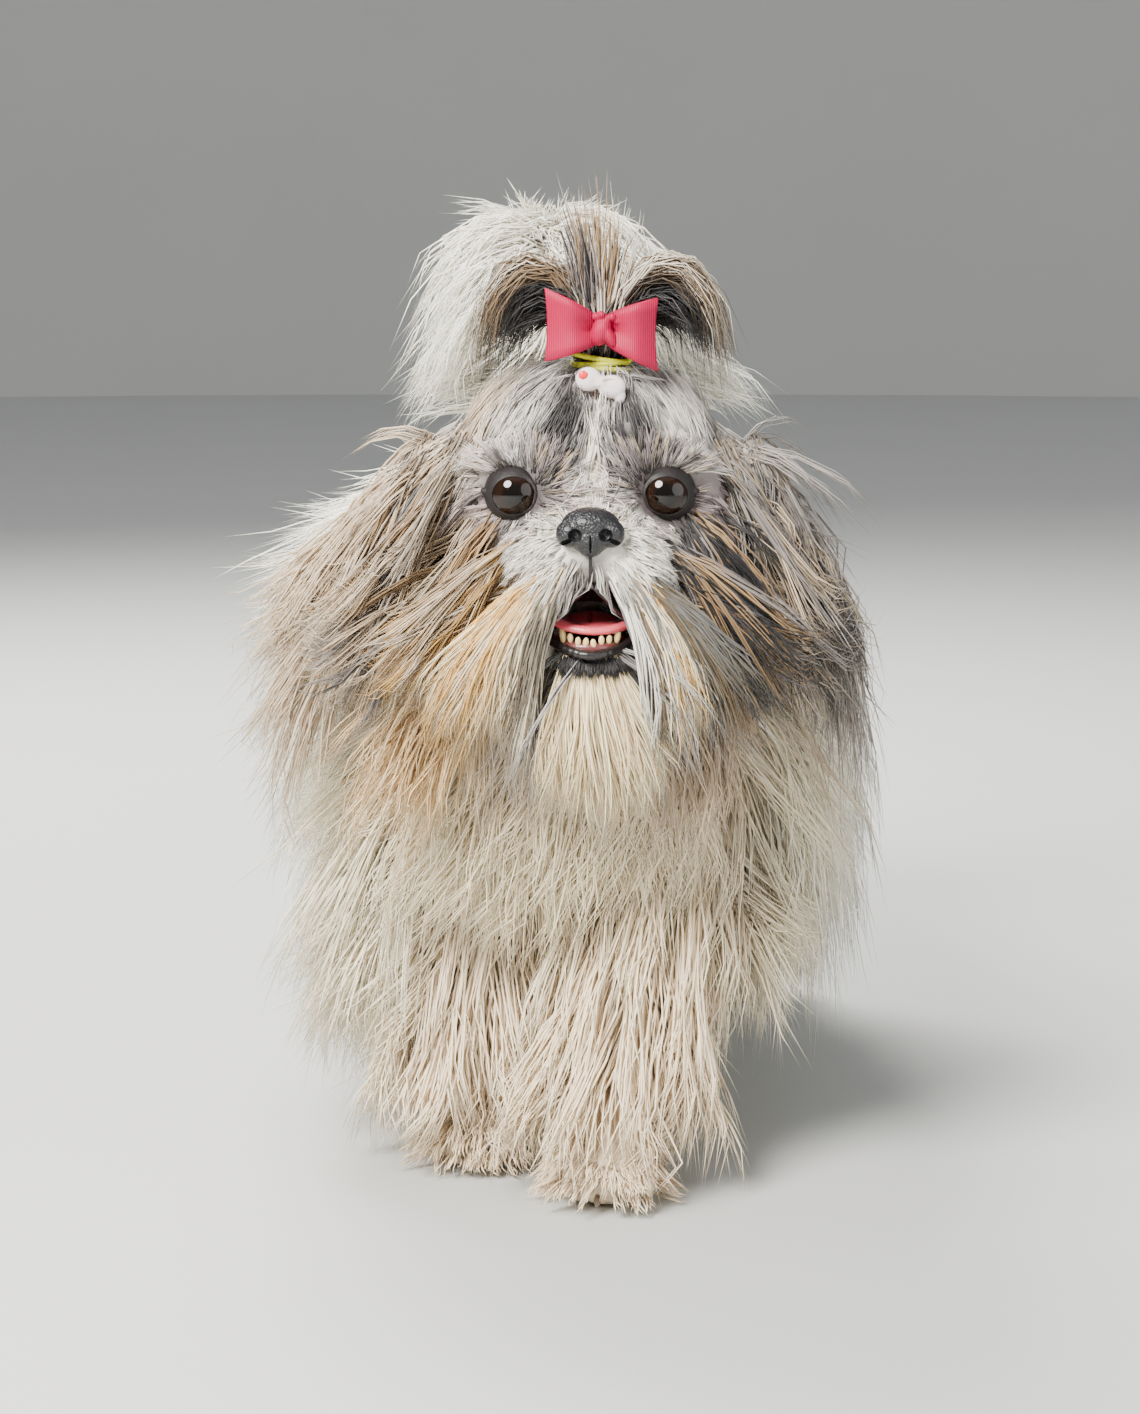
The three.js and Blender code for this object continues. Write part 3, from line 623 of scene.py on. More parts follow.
def weave_locks(name, locks, rings, tip_painted_light=1.06, root_painted_shade=0.9, guard=False):
    """Makes the strands of all the locks, with as many rings as asked for along each.
    Each strand is darker at its root and a little lighter at its tip: painted shade and painted light in the
    coat.
    """
    t = locks.table()
    rng = locks.rng
    _, _, root_uv = on_skin(t["a"])
    if guard:
        for x, z, wide, high, deep in EYE_GUARDS:
            gap = np.linalg.norm((t["a"][:, [0, 2]] - [x, z]) / [wide, high], axis=1)
            t["strands"][(gap < ROOT_OPEN) & (t["a"][:, 1] < deep + 10)] = 0
    i = np.repeat(np.arange(len(t["a"])), t["strands"])
    n = len(i)
    s = np.linspace(0, 1, rings + 1)[None, :, None]
    a, b, c, d = (t[k][i][:, None, :] for k in "abcd")
    cut = rng.uniform(0.72, 1.04, n)[:, None, None]
    f = s * cut
    path = (1 - f) ** 3 * a + 3 * (1 - f) ** 2 * f * b + 3 * (1 - f) * f**2 * c + f**3 * d
    ahead = 3 * ((1 - f) ** 2 * (b - a) + 2 * (1 - f) * f * (c - b) + f**2 * (d - c))
    ahead = unit(ahead)
    out = unit(t["out"][i])[:, None, :]
    up = unit(out - (out * ahead).sum(-1, keepdims=True) * ahead)
    side = np.cross(ahead, up)
    turn = rng.uniform(0, 2 * np.pi, n)[:, None, None]
    away = (np.sqrt(rng.uniform(0, 1, n)) * t["spread"][i])[:, None, None]
    close = 1 - (1 - t["tip"][i][:, None, None]) * f**0.7
    offset = side * np.cos(turn) * away * close + up * np.sin(turn) * away * close * 0.6
    phase = rng.uniform(0, 6.3, len(t["a"]))[i][:, None, None] + rng.normal(0, 0.5, n)[:, None, None]
    beats = rng.uniform(0.6, 1.3, len(t["a"]))[i][:, None, None]
    wave = t["wave"][i][:, None, None] * f
    bend = side * np.sin(phase + beats * 6.3 * f) * wave
    bend = bend + up * np.cos(phase * 1.7 + beats * 5 * f) * wave * 0.5
    fly = rng.normal(0, 1, (n, 1, 3)) * t["fly"][i][:, None, None] * f**2
    path = path + offset + bend + fly
    past = np.clip(path[..., 0] - REACH_X[1], 0, None) + np.clip(path[..., 0] - REACH_X[0], None, 0)
    path[..., 0] -= PULL_IN * past
    path[..., 2] = np.maximum(path[..., 2], FLOOR_CLEAR)
    if guard:
        moved = keep_clear(path)
        seen = ~over_eye(moved) & (np.linalg.norm(moved - path, axis=-1).max(1) < MOST_MOVED)
        path = moved
        path, i, ahead, out = path[seen], i[seen], ahead[seen], out[seen]
        n = len(i)
    ahead = unit(np.gradient(path, axis=1))
    up = unit(out - (out * ahead).sum(-1, keepdims=True) * ahead)
    side = np.cross(ahead, up)
    roll = rng.normal(0, 0.5, n)[:, None, None]
    side, up = side * np.cos(roll) + up * np.sin(roll), up * np.cos(roll) - side * np.sin(roll)
    slim = np.clip(1 - s**3, 0, 1) * (0.75 + 0.25 * np.sin(np.pi * np.clip(s * 1.2, 0, 1)))
    wide = (t["width"][i] * rng.uniform(0.7, 1.25, n))[:, None, None] * slim / 2
    sunk = up * wide * 0.2
    ring = np.stack([path + side * wide - sunk, path + up * wide * 0.7, path - side * wide - sunk], 2)[:, :-1]
    end = path[:, -1]
    k = rings * 3
    xyz = np.concatenate([ring.reshape(n, k, 3), end[:, None, :]], 1)
    quads = []
    for r in range(rings - 1):
        for q in range(3):
            a0, a1 = r * 3 + q, r * 3 + (q + 1) % 3
            quads.append([a1, a0, a0 + 3, a1 + 3])
    tris = [[k - 3 + (q + 1) % 3, k - 3 + q, k] for q in range(3)] + [[0, 1, 2]]
    quads, tris = np.array(quads), np.array(tris)
    start = (np.arange(n) * (k + 1))[:, None, None]
    shade = rng.uniform(0.92, 1.1, n) * (1 - t["dark"][i] * (rng.uniform(0, 1, n) < 0.5))
    tone = t["colour"][i] * shade[:, None]
    # Painted shade deep in the coat: each strand runs from darker at the root to a little lighter at the tip.
    painted_coat_shade = np.linspace(root_painted_shade, tip_painted_light, rings)[:, None]
    ring_tone = (tone[:, None, None, :] * painted_coat_shade[None, :, :, None]) * np.ones((1, 1, 3, 1))
    colour = np.concatenate([ring_tone.reshape(n, k, 3), tone[:, None, :] * tip_painted_light], 1)
    strand_u = np.concatenate([np.tile([0.0, 0.5, 1.0], rings), [0.5]])
    strand_v = np.concatenate([np.repeat(np.linspace(0, 0.9, rings), 3), [1.0]])
    patch = root_uv[i][:, None, :] + np.stack([strand_u, strand_v], 1)[None] * PATCH
    line_u = strand_u[None] + rng.uniform(0, 50, n)[:, None]
    line_v = strand_v[None] + rng.uniform(0, 9, n)[:, None]
    build_mesh(name, xyz, start, quads, tris, colour, patch, np.stack([line_u, line_v], 2))
    return n, n * (len(quads) * 2 + len(tris))


def build_mesh(name, xyz, start, quads, tris, colour, patch, lines):
    """Joins strands into pieces, each under the limit of triangles for one piece."""
    limit = PIECE_LIMIT // (len(quads) * 2 + len(tris))
    pieces = max(1, math.ceil(len(xyz) / limit))
    for part, chosen in enumerate(np.array_split(np.arange(len(xyz)), pieces)):
        offset = start[: len(chosen)]
        q = (quads[None] + offset).reshape(-1)
        r = (tris[None] + offset).reshape(-1)
        order = np.concatenate([q, r])
        counts = np.concatenate([np.full(len(q) // 4, 4), np.full(len(r) // 3, 3)])
        mesh = bpy.data.meshes.new(name)
        flat = metres(xyz[chosen].reshape(-1, 3))
        mesh.vertices.add(len(flat))
        mesh.vertices.foreach_set("co", flat.ravel())
        mesh.loops.add(len(order))
        mesh.loops.foreach_set("vertex_index", order)
        mesh.polygons.add(len(counts))
        mesh.polygons.foreach_set("loop_start", np.concatenate([[0], np.cumsum(counts)[:-1]]))
        for label, place in (("OFBake", patch), ("Strand", lines)):
            layer = mesh.uv_layers.new(name=label)
            layer.data.foreach_set("uv", place[chosen].reshape(-1, 2)[order].ravel())
        mesh.update(calc_edges=True)
        mesh.polygons.foreach_set("use_smooth", np.ones(len(counts), bool))
        o = bpy.data.objects.new(f"{name}_{part + 1}", mesh)
        bpy.context.scene.collection.objects.link(o)
        paint(o, np.clip(colour[chosen].reshape(-1, 3), 0, 1))
        mesh.materials.append(coat_look)
        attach(o, "root")
        coat_pieces.append(o)


coat_pieces = []
PIECE_LIMIT = 190000
SHARE = 1.0


def count(n):
    return int(n * SHARE)


# %% [markdown]
# ### Flanks and rump
# The body coat parts along the spine and falls to both sides. The dog trots and the wind comes across it,
# so the coat of its right side streams outwards and the locks end in upturned tips.

# %% Body coat
COAT_HEIGHTS = [20, 50, 100, 150, 190, 225, 250, 275]
COAT_REACH = {1: [104, 112, 118, 119, 108, 92, 74, 50], -1: [100, 118, 132, 146, 150, 122, 90, 60]}


def coat_reach(side, z, y):
    out = np.interp(z, COAT_HEIGHTS, COAT_REACH[side])
    return out * np.sqrt(np.clip(1 - ((y - 5) / 210) ** 2, 0.05, 1))


def body_tone(p, rng, warm=0.25):
    return tint(marking_and_shade(p), CREAM, rng.uniform(0, warm, len(p)) ** 2)


def flank(locks, side, n):
    r = locks.rng
    v = r.uniform(0, 1, n)
    y = r.uniform(-128, 178, n)
    phi = np.radians(8 + 108 * v + r.normal(0, 6, n))
    taper = np.sqrt(np.clip(1 - ((y - 20) / 190) ** 2, 0.1, 1))
    a = columns(side * 60 * np.sin(phi) * taper, y, 193 + 59 * np.cos(phi))
    high = 216 if side < 0 else 176
    tip_z = high + (36 - high) * v**0.85 + r.normal(0, 12, n)
    tip_z = np.clip(tip_z, 22, 240)
    reach = coat_reach(side, tip_z, y) * r.uniform(0.86 if side < 0 else 0.76, 1.02, n)
    lift = 14 * (side < 0) * (1 - v)
    d = columns(side * reach, y + r.normal(12, 14, n), tip_z + lift)
    step = d - a
    b = a + step * 0.3 + columns(side * 20 * np.sin(phi) + side * 4, 0, 20 * (1 - v))
    c = a + step * 0.74 + columns(side * 12, r.normal(0, 5, n), -lift)
    out = columns(side * (0.3 + v), 0, 1.1 - v)
    locks.add(a, b, c, d, body_tone(a, r), out, 10, 1.3, 10, tip=0.6, wave=9, fly=4)


def rump(locks, n):
    r = locks.rng
    turn = r.uniform(-1.35, 1.35, n)
    high = r.uniform(0, 1, n)
    z = 150 + 100 * high
    away = 30 + 20 * np.sin(np.pi * high * 0.8)
    a = columns(away * 1.1 * np.sin(turn), 146 + away * 0.9 * np.cos(turn), z)
    reach = r.uniform(38, 62, n)
    way = columns(np.sin(turn) * 1.15, np.cos(turn) * 0.75, 0)
    d = a + way * reach[:, None] * 0.8
    d[:, 2] = np.maximum(z - r.uniform(95, 135, n), 26)
    b = a + (d - a) * 0.3 + way * 20
    c = a + (d - a) * 0.75 + way * 12
    locks.add(a, b, c, d, body_tone(a, r), way + [0, 0, 0.5], 10, 1.3, 10, tip=0.6, wave=9, fly=4)


body_locks = Locks(5)
flank(body_locks, 1, count(620))
flank(body_locks, -1, count(700))
rump(body_locks, count(230))
print("body strands, triangles:", weave_locks("coat_body", body_locks, rings=4))

# %% Chest and legs
def chest(locks, n):
    r = locks.rng
    x = r.uniform(-60, 60, n)
    z = r.uniform(112, 214, n)
    guess = columns(x * 0.8, -168.0, z)
    a, normal, _ = on_skin(guess)
    drop = r.uniform(58, 92, n)
    wind = -14 - 22 * r.uniform(0, 1, n) * soft(60 - x, 0, 60)
    d = a + columns(x * 0.45 + wind, -r.uniform(8, 26, n), -drop)
    b = a + (d - a) * 0.3 + columns(x * 0.1, -15.0, 4.0)
    c = a + (d - a) * 0.72 + columns(r.normal(0, 5, n), -9.0, 0)
    tone = body_tone(a, r, 0.7)
    tone = tint(tone, GOLD, soft(z, 165, 214) * r.uniform(0, 0.4, n))
    locks.add(a, b, c, d, tone, normal + [0, -1, 0], 10, 1.1, 7, tip=0.55, wave=9, fly=3)


def ruff(locks, side, n):
    r = locks.rng
    z = r.uniform(150, 268, n)
    guess = columns(side * 80.0, r.uniform(-165, -95, n), z)
    a, normal, _ = on_skin(guess)
    reach = coat_reach(side, np.clip(z - 60, 30, 250), np.full(n, -95.0)) * r.uniform(0.8, 1.02, n)
    d = columns(side * reach, a[:, 1] + r.normal(6, 9, n), z - r.uniform(42, 80, n))
    lift = 12.0 if side < 0 else 0.0
    b = a + (d - a) * 0.3 + [side * 12.0, -5.0, 10.0]
    c = a + (d - a) * 0.74 + [side * 10.0, -3.0, -lift]
    locks.add(a, b, c, d + [0, 0, lift], body_tone(a, r, 0.5), normal, 10, 1.1, 7, tip=0.55, wave=8, fly=4)


def feathering(locks, name, n):
    r = locks.rng
    line = LEGS[name]
    fore = "fore" in name
    t = r.uniform(0.05, 0.86, n)
    turn = r.uniform(0, 2 * np.pi, n)
    way = columns(np.cos(turn), np.sin(turn), 0)
    core = np.interp(t, [0, 0.5, 1], [20, 14, 13])
    full = np.interp(t, [0, 0.35, 0.7, 1], [34, 44, 50, 52] if fore else [36, 40, 44, 46])
    middle = along(line, t)
    a = middle + way * core[:, None]
    drop = r.uniform(58, 96, n)
    t2 = np.clip(t + drop / 170, 0, 1)
    foot = along(line, t2)
    d = foot + way * (full * r.uniform(0.42, 1.0, n))[:, None]
    d[:, 2] = np.maximum(middle[:, 2] - drop, r.uniform(3, 14, n))
    b = a + (d - a) * 0.3 + way * 12
    c = a + (d - a) * 0.72 + way * 9
    c[:, 2] = np.maximum(c[:, 2], 6)
    tone = tint(marking_and_shade(a), PEACH, r.uniform(0.1, 0.7, n))
    locks.add(a, b, c, d, tone, way, 10, 1.2, 7, tip=0.6, wave=7, fly=3)


def foot_hair(locks, name, n):
    r = locks.rng
    x, y, _ = LEGS[name][2]
    turn = r.uniform(0, 2 * np.pi, n)
    guess = columns(x + 17 * np.cos(turn), y - 8 + 23 * np.sin(turn), r.uniform(5, 30, n))
    a, normal, _ = on_skin(guess)
    way = unit(normal * [1, 1, 0.2] + [0, -0.7, -0.6])
    d = a + way * r.uniform(10, 20, n)[:, None]
    d[:, 2] = np.maximum(d[:, 2], 1.5)
    b = a + (d - a) * 0.35 + normal * 3
    c = a + (d - a) * 0.7 + normal * 2
    b[:, 2], c[:, 2] = np.maximum(b[:, 2], 2.5), np.maximum(c[:, 2], 2)
    tone = tint(marking_and_shade(a), PEACH, r.uniform(0.2, 0.8, n))
    locks.add(a, b, c, d, tone, normal, 5, 0.85, 2.6, tip=0.9, wave=1.2, fly=1.2)


def skirt(locks, side, n):
    """Long hair from the shoulder that hangs beside the foreleg almost to the floor."""
    r = locks.rng
    z = r.uniform(96, 190, n)
    guess = columns(side * 80.0, r.uniform(-150, -60, n), z)
    a, normal, _ = on_skin(guess)
    v = r.uniform(0, 1, n)
    tip_z = (12 + 60 * v) if side < 0 else (26 + 60 * v)
    out = np.interp(tip_z, [12, 60, 90], [98, 118, 122]) * (1.0 if side < 0 else 0.7)
    out = out * r.uniform(0.6, 1.03, n)
    d = columns(side * out, a[:, 1] + r.normal(-8, 12, n), tip_z)
    puff = np.array([side * 12.0, -8.0, 4.0])
    b = a + (d - a) * 0.3 + puff
    c = a + (d - a) * 0.74 + puff * [0.9, 0.6, -2.4]
    tone = body_tone(a, r, 0.6)
    locks.add(a, b, c, d + [side * 4, 0, 4], tone, normal, 10, 1.15, 7, tip=0.55, wave=9, fly=3)


front_locks = Locks(7)
skirt(front_locks, -1, count(260))
skirt(front_locks, 1, count(90))
chest(front_locks, count(420))
ruff(front_locks, 1, count(120))
ruff(front_locks, -1, count(140))
print("chest strands, triangles:", weave_locks("coat_chest", front_locks, rings=4))
leg_locks = Locks(9)
for leg in LEGS:
    feathering(leg_locks, leg, count(184))
print("leg strands, triangles:", weave_locks("coat_legs", leg_locks, rings=3))
foot_locks = Locks(10)
for leg in LEGS:
    foot_hair(foot_locks, leg, count(170))
print("foot strands, triangles:", weave_locks("coat_feet", foot_locks, rings=3))

# %% Tail plume
def tail_way(t):
    return unit(along(TAIL, np.minimum(t + 0.02, 1.0)) - along(TAIL, np.maximum(t - 0.02, 0)))


def plume(locks, side, n):
    r = locks.rng
    t = r.uniform(0.06, 1, n)
    a = along(TAIL, t)
    ahead = tail_way(t)
    reach = (92 - 48 * t) * r.uniform(0.55, 1.02, n)
    low = np.maximum(a[:, 2] - r.uniform(28, 78, n) * (reach / 70), 256 + r.uniform(0, 20, n))
    d = columns(a[:, 0] + side * reach, a[:, 1] + ahead[:, 1] * 30 + r.normal(0, 9, n), low)
    rise = 25 * r.uniform(0.5, 1.3, n)
    b = a + (d - a) * 0.3 + columns(side * 8.0, 0, rise)
    c = a + (d - a) * 0.75 + columns(side * 10.0, 0, rise * 0.6)
    out = np.array([side * 0.6, 0, 1])
    locks.add(a, b, c, d, body_tone(a, r, 0.2), out, 10, 1.35, 7, tip=0.5, wave=7, fly=4)


def tail_top(locks, n):
    """Hair that covers the ridge of the tail and lies along it."""
    r = locks.rng
    t = r.uniform(0.0, 0.97, n)
    a = along(TAIL, t) + r.normal(0, 2, (n, 3))
    ahead = tail_way(t)
    out = columns(0, ahead[:, 2], -ahead[:, 1])
    lean = columns(r.normal(0, 16, n), 0, 0)
    b = a + ahead * 12 + out * 8 + lean * 0.3
    c = a + ahead * 26 + out * 10 + lean * 0.8
    d = a + ahead * 40 + out * 3 + lean * 1.3
    locks.add(a, b, c, d, body_tone(a, r, 0.2), out, 9, 1.3, 6, tip=0.6, wave=4, fly=3)


tail_locks = Locks(15)
tail_top(tail_locks, count(120))
plume(tail_locks, 1, count(150))
plume(tail_locks, -1, count(150))
print("tail strands, triangles:", weave_locks("coat_tail", tail_locks, rings=4))

# %% [markdown]
# ### Head
# The face hair grows away from the nose. It is short on the muzzle, sweeps up to the band over the
# forehead, and lengthens over the cheeks, where it joins the long hair of the ears.

# %% Short hair of the face
NOSE = np.array([0, -243, 247])
BAND = np.array([4, -190, 303])
FACE_FROM, FACE_ABOVE = 186, 190  # where the face begins, counted forwards and from the floor


def pick_tone(r, tones, n):
    return np.array(tones)[r.integers(0, len(tones), n)]


def face_roots(rng, n, keep):
    """Random places on the front of the head, evenly spread, that a test keeps."""
    forward = -skin_xyz[:, 1] + 0.37 * (skin_xyz[:, 2] - 130)
    pool = skin_xyz[(forward > FACE_FROM) & (skin_xyz[:, 2] > FACE_ABOVE)]
    pool = pool[keep(pool)]
    pick = pool[rng.integers(0, len(pool), n)] + rng.normal(0, 1.0, (n, 3))
    clear = np.ones(n, bool)
    for eye in EYES.values():
        clear &= np.linalg.norm((pick - eye) * [1, 0.7, 1.1], axis=1) > 10.0
    clear &= np.linalg.norm((pick - MOUTH_AT) / MOUTH_SIZE, axis=1) > 1.1
    clear &= np.linalg.norm((pick - NOSE) * [1, 1, 1.2], axis=1) > 11.5
    return pick[clear]


def flat_way(way, normal):
    return unit(way - (way * normal).sum(1, keepdims=True) * normal)


def past_eyes(a, way):
    """Turns the lie of the hair aside where it would cross an eye."""
    for eye in EYES.values():
        gap = a - eye
        gap[:, 1] = 0
        near_eye = np.clip(1.7 - np.linalg.norm(gap, axis=1) / 15, 0, 1)[:, None]
        way = unit(way + unit(gap) * near_eye * 1.6)
    return way


def face_hair(locks, n, keep, way_of, low, high, strands, width, rise=0.32, spread=2.2, fall=0.05):
    r = locks.rng
    a, normal, _ = on_skin(face_roots(r, n, keep))
    m = len(a)
    way = flat_way(past_eyes(a, way_of(a, r)), normal)
    gap = np.min([np.linalg.norm((a - eye)[:, [0, 2]], axis=1) for eye in EYES.values()], axis=0)
    size = (r.uniform(low, high, m) * (0.4 + 0.6 * soft(gap, 13, 30)))[:, None]
    b = a + (way * 0.9 + normal * rise * 1.6) * size * 0.33
    c = a + (way + normal * rise + [0, 0, -0.5 * fall]) * size * 0.7
    d = a + (way * 1.0 + normal * rise * 0.55 + [0, 0, -fall]) * size
    tone = marking_and_shade(a + r.normal(0, 2.0, (m, 3)))
    locks.add(a, b, c, d, tone, normal, strands, width, spread, wave=0.8, fly=1.2)


def from_nose(a, r):
    way = a - NOSE
    way[:, 1] *= 0.6
    return unit(unit(way) + [0, 0.25, -0.12] + r.normal(0, 0.10, a.shape))


def to_band(a, r):
    way = unit(BAND - a)
    return unit(way + columns(a[:, 0] * 0.006, 0, 0) + r.normal(0, 0.07, a.shape))


def over_cheek(a, r):
    side = np.sign(a[:, 0])
    way = columns(side * 0.7, 0.15 + 0.4 * soft(a[:, 2], 255, 280), -0.8 + 0.004 * (a[:, 2] - 235))
    return unit(way + r.normal(0, 0.1, a.shape))


def muzzle(p):
    return (np.abs(p[:, 0]) < 31) & (p[:, 2] < 262) & (p[:, 2] > 216) & (p[:, 1] < -215)


def forehead(p):
    return (p[:, 2] > 262 + 0.25 * np.abs(p[:, 0])) & (np.abs(p[:, 0]) < 46)


def cheek(p):
    return ~muzzle(p) & ~forehead(p)


face_locks = Locks(21)
face_hair(face_locks, count(900), muzzle, from_nose, 8, 16, 5, 0.6, rise=0.4, spread=1.5)
face_hair(face_locks, count(900), forehead, to_band, 20, 36, 5, 0.7, rise=0.12, spread=1.8)
face_hair(face_locks, count(800), cheek, over_cheek, 26, 52, 6, 0.75, rise=0.26, spread=2.4, fall=0.4)


def eye_ring(locks, side, n):
    """Short hair that lies away from the eye, all round it."""
    r = locks.rng
    eye = EYES["left" if side > 0 else "right"]
    turn = r.uniform(0, 2 * np.pi, n)
    away = r.uniform(9.6, 21, n)
    ray = columns(np.cos(turn), 0, np.sin(turn))
    a, normal, _ = on_skin(eye + ray * away[:, None] + [0, -10, 0])
    way = flat_way(ray + [side * 0.35, 0.1, 0] + r.normal(0, 0.12, (n, 3)), normal)
    size = r.uniform(6, 13, n)[:, None]
    b, c = a + (way + normal * 0.5) * size * 0.33, a + (way + normal * 0.35) * size * 0.7
    d = a + (way + normal * 0.15) * size
    brown = pick_tone(r, [MAUVE, GREY, MAUVE * 1.5, BEIGE], n)
    tone = tint(marking_and_shade(a + ray * 4), brown, r.uniform(0.2, 0.8, n))
    tone = tint(tone, CHARCOAL * 2, 0.8 * (1 - soft(away, 9.6, 12.5)))
    locks.add(a, b, c, d, tone, normal, 5, 0.55, 1.2, wave=0.4, fly=0.8)


for side in (1, -1):
    eye_ring(face_locks, side, count(330))
# The face hair has deeper painted shade at its roots.
print("face strands, triangles:", weave_locks("coat_face", face_locks, rings=3, guard=True, root_painted_shade=0.78))

# %% Long hair of cheeks and ears
EAR_TONES = {
    -1: [BEIGE, TAN, BEIGE * 1.25, GREY * 0.8, rgb(0.58, 0.50, 0.42)],
    1: [GREY * 1.1, BEIGE * 0.8, GREY * 0.7, rgb(0.42, 0.38, 0.34), BEIGE],
}
CHEEK_TONES = {
    -1: [BEIGE, GOLD * 0.9, TAN * 1.4, rgb(0.74, 0.60, 0.44)],
    1: [CHARCOAL, CHARCOAL * 2, GREY, TAN],
}


def ear_fall(locks, side, n):
    r = locks.rng
    z = r.uniform(214, 284, n)
    guess = columns(side * r.uniform(50, 68, n), r.uniform(-206, -150, n), z)
    a, normal, _ = on_skin(guess)
    t = r.uniform(0, 1, n)
    tip_x = 66 + 34 * np.sin(np.pi * np.clip(t * 0.9 + 0.1, 0, 1)) - 6 * (side > 0)
    tip_z = 164 + 62 * t + r.normal(0, 5, n)
    tip_x = tip_x * (1 - 0.2 * soft(z, 250, 284))
    tip_z = np.minimum(tip_z, a[:, 2] - 22)
    d = columns(side * tip_x, a[:, 1] + r.normal(-2, 9, n), tip_z)
    puff = np.array([side * 17.0, -4.0, 4.0]) * (1 - 0.65 * soft(z, 250, 284))[:, None]
    b = a + (d - a) * 0.28 + puff
    c = a + (d - a) * 0.74 + puff * [0.4, 1, -2.6]
    d = d + columns(side * 6.0, 0, r.uniform(2, 16, n))
    tone = pick_tone(r, EAR_TONES[side], n)
    tone = tint(tone, CHARCOAL, soft(a[:, 2], 262, 288) * 0.8)
    if side > 0:
        tone = tint(tone, CHARCOAL, (r.uniform(0, 1, n) < 0.35) * soft(-tip_z, -205, -190) * 0.95)
    locks.add(a, b, c, d, tone, normal, 8, 0.95, 4.0, tip=0.45, wave=5, fly=2.4, dark=0.45)


def cheek_fall(locks, side, n):
    """Hair from under the eye that sweeps out and down beside the moustache."""
    r = locks.rng
    guess = columns(side * r.uniform(26, 50, n), -225.0, r.uniform(212, 250, n))
    a, normal, _ = on_skin(guess)
    t = r.uniform(0, 1, n)
    d = columns(side * (40 + 44 * t), a[:, 1] + r.uniform(2, 24, n), 164 + 34 * t + r.normal(0, 6, n))
    puff = np.array([side * 10.0, -9.0, 3.0])
    b = a + (d - a) * 0.3 + puff
    c = a + (d - a) * 0.74 + puff * [0.9, 0.8, -4.0]
    d = d + columns(side * 4.0, 0, r.uniform(0, 9, n))
    tone = pick_tone(r, CHEEK_TONES[side], n)
    locks.add(a, b, c, d, tone, normal, 7, 0.85, 3.2, tip=0.45, wave=4, fly=2.2, dark=0.4)


def moustache(locks, side, n):
    r = locks.rng
    t = r.uniform(0, 1, n)
    guess = columns(side * (7 + 22 * t), -250.0, 231 - 8 * t + r.normal(0, 3, n))
    a, normal, _ = on_skin(guess)
    d = columns(side * (22 + 40 * t), a[:, 1] + 14 + r.normal(0, 3, n), 166 + 16 * t + r.normal(0, 6, n))
    puff = columns(side * (5 + 5 * t), -8.0, 2.0)
    b = a + (d - a) * 0.25 + puff
    c = a + (d - a) * 0.72 + puff * [0.8, 0.5, -1]
    if side < 0:
        tone = pick_tone(r, [tint(GOLD, CREAM, [0.4])[0], CREAM, GOLD * 1.1, rgb(0.84, 0.68, 0.46)], n)
    else:
        tone = tint(pick_tone(r, [CREAM, GOLD, WHITE * 0.9], n), CHARCOAL * 1.5, (t > 0.55) * 0.85)
    tone = tint(tone, WHITE, soft(-t, -0.3, 0) * 0.6)
    tone = tint(tone, CHARCOAL * 2, (t < 0.3) * (r.uniform(0, 1, n) < 0.5) * 0.8)
    locks.add(a, b, c, d, tone, normal, 8, 0.8, 2.8, tip=0.5, wave=3.2, fly=2.0, dark=0.15)


def beard(locks, n):
    r = locks.rng
    x = r.uniform(-16, 18, n)
    guess = columns(x, -250.0, r.uniform(190, 203, n))
    a, normal, _ = on_skin(guess)
    low = 132 + 0.9 * np.abs(x) + np.abs(r.normal(0, 10, n))
    d = columns(x * 1.5 + 4, a[:, 1] + 14 + r.normal(0, 5, n), low)
    b = a + (d - a) * 0.3 + [0, -9, 0]
    c = a + (d - a) * 0.72 + columns(x * 0.25, -5.0, 0)
    tone = pick_tone(r, [CREAM, rgb(0.76, 0.60, 0.36), CREAM * 1.1, rgb(0.70, 0.52, 0.28)], n)
    locks.add(a, b, c, d, tone, normal, 8, 0.85, 2.8, tip=0.5, wave=3.4, fly=1.8)


def chin(locks, n):
    r = locks.rng
    guess = columns(r.uniform(-16, 16, n), -250.0, r.uniform(198, 206, n))
    a, normal, _ = on_skin(guess)
    way = unit(normal * 0.6 + [0, 0, -1.0] + a * [0.015, 0, 0])
    d = a + way * r.uniform(5, 10, n)[:, None]
    b, c = a + (d - a) * 0.35 + normal, a + (d - a) * 0.7 + normal * 0.6
    locks.add(a, b, c, d, CHARCOAL, normal, 6, 0.7, 1.6, wave=0.5, fly=0.6)


long_locks = Locks(27)
for side in (1, -1):
    ear_fall(long_locks, side, count(330))
    cheek_fall(long_locks, side, count(120 if side < 0 else 180))
    moustache(long_locks, side, count(110))
beard(long_locks, count(170))
print("long head strands, triangles:", weave_locks("coat_head_long", long_locks, rings=5, guard=True))
chin_locks = Locks(28)
chin(chin_locks, count(150))
print("chin strands, triangles:", weave_locks("coat_chin", chin_locks, rings=3, guard=True))

# %% [markdown]
# ### Topknot
# A band gathers the hair of the forehead. Above it the hair stands up in the middle and falls in an arc
# on either side. It is charcoal, streaked with tan and white on the outside; the plain charcoal underneath is
# partly the hair's own colour and partly painted shade.

# %% Topknot
TIE = np.array([4, -188, 304])


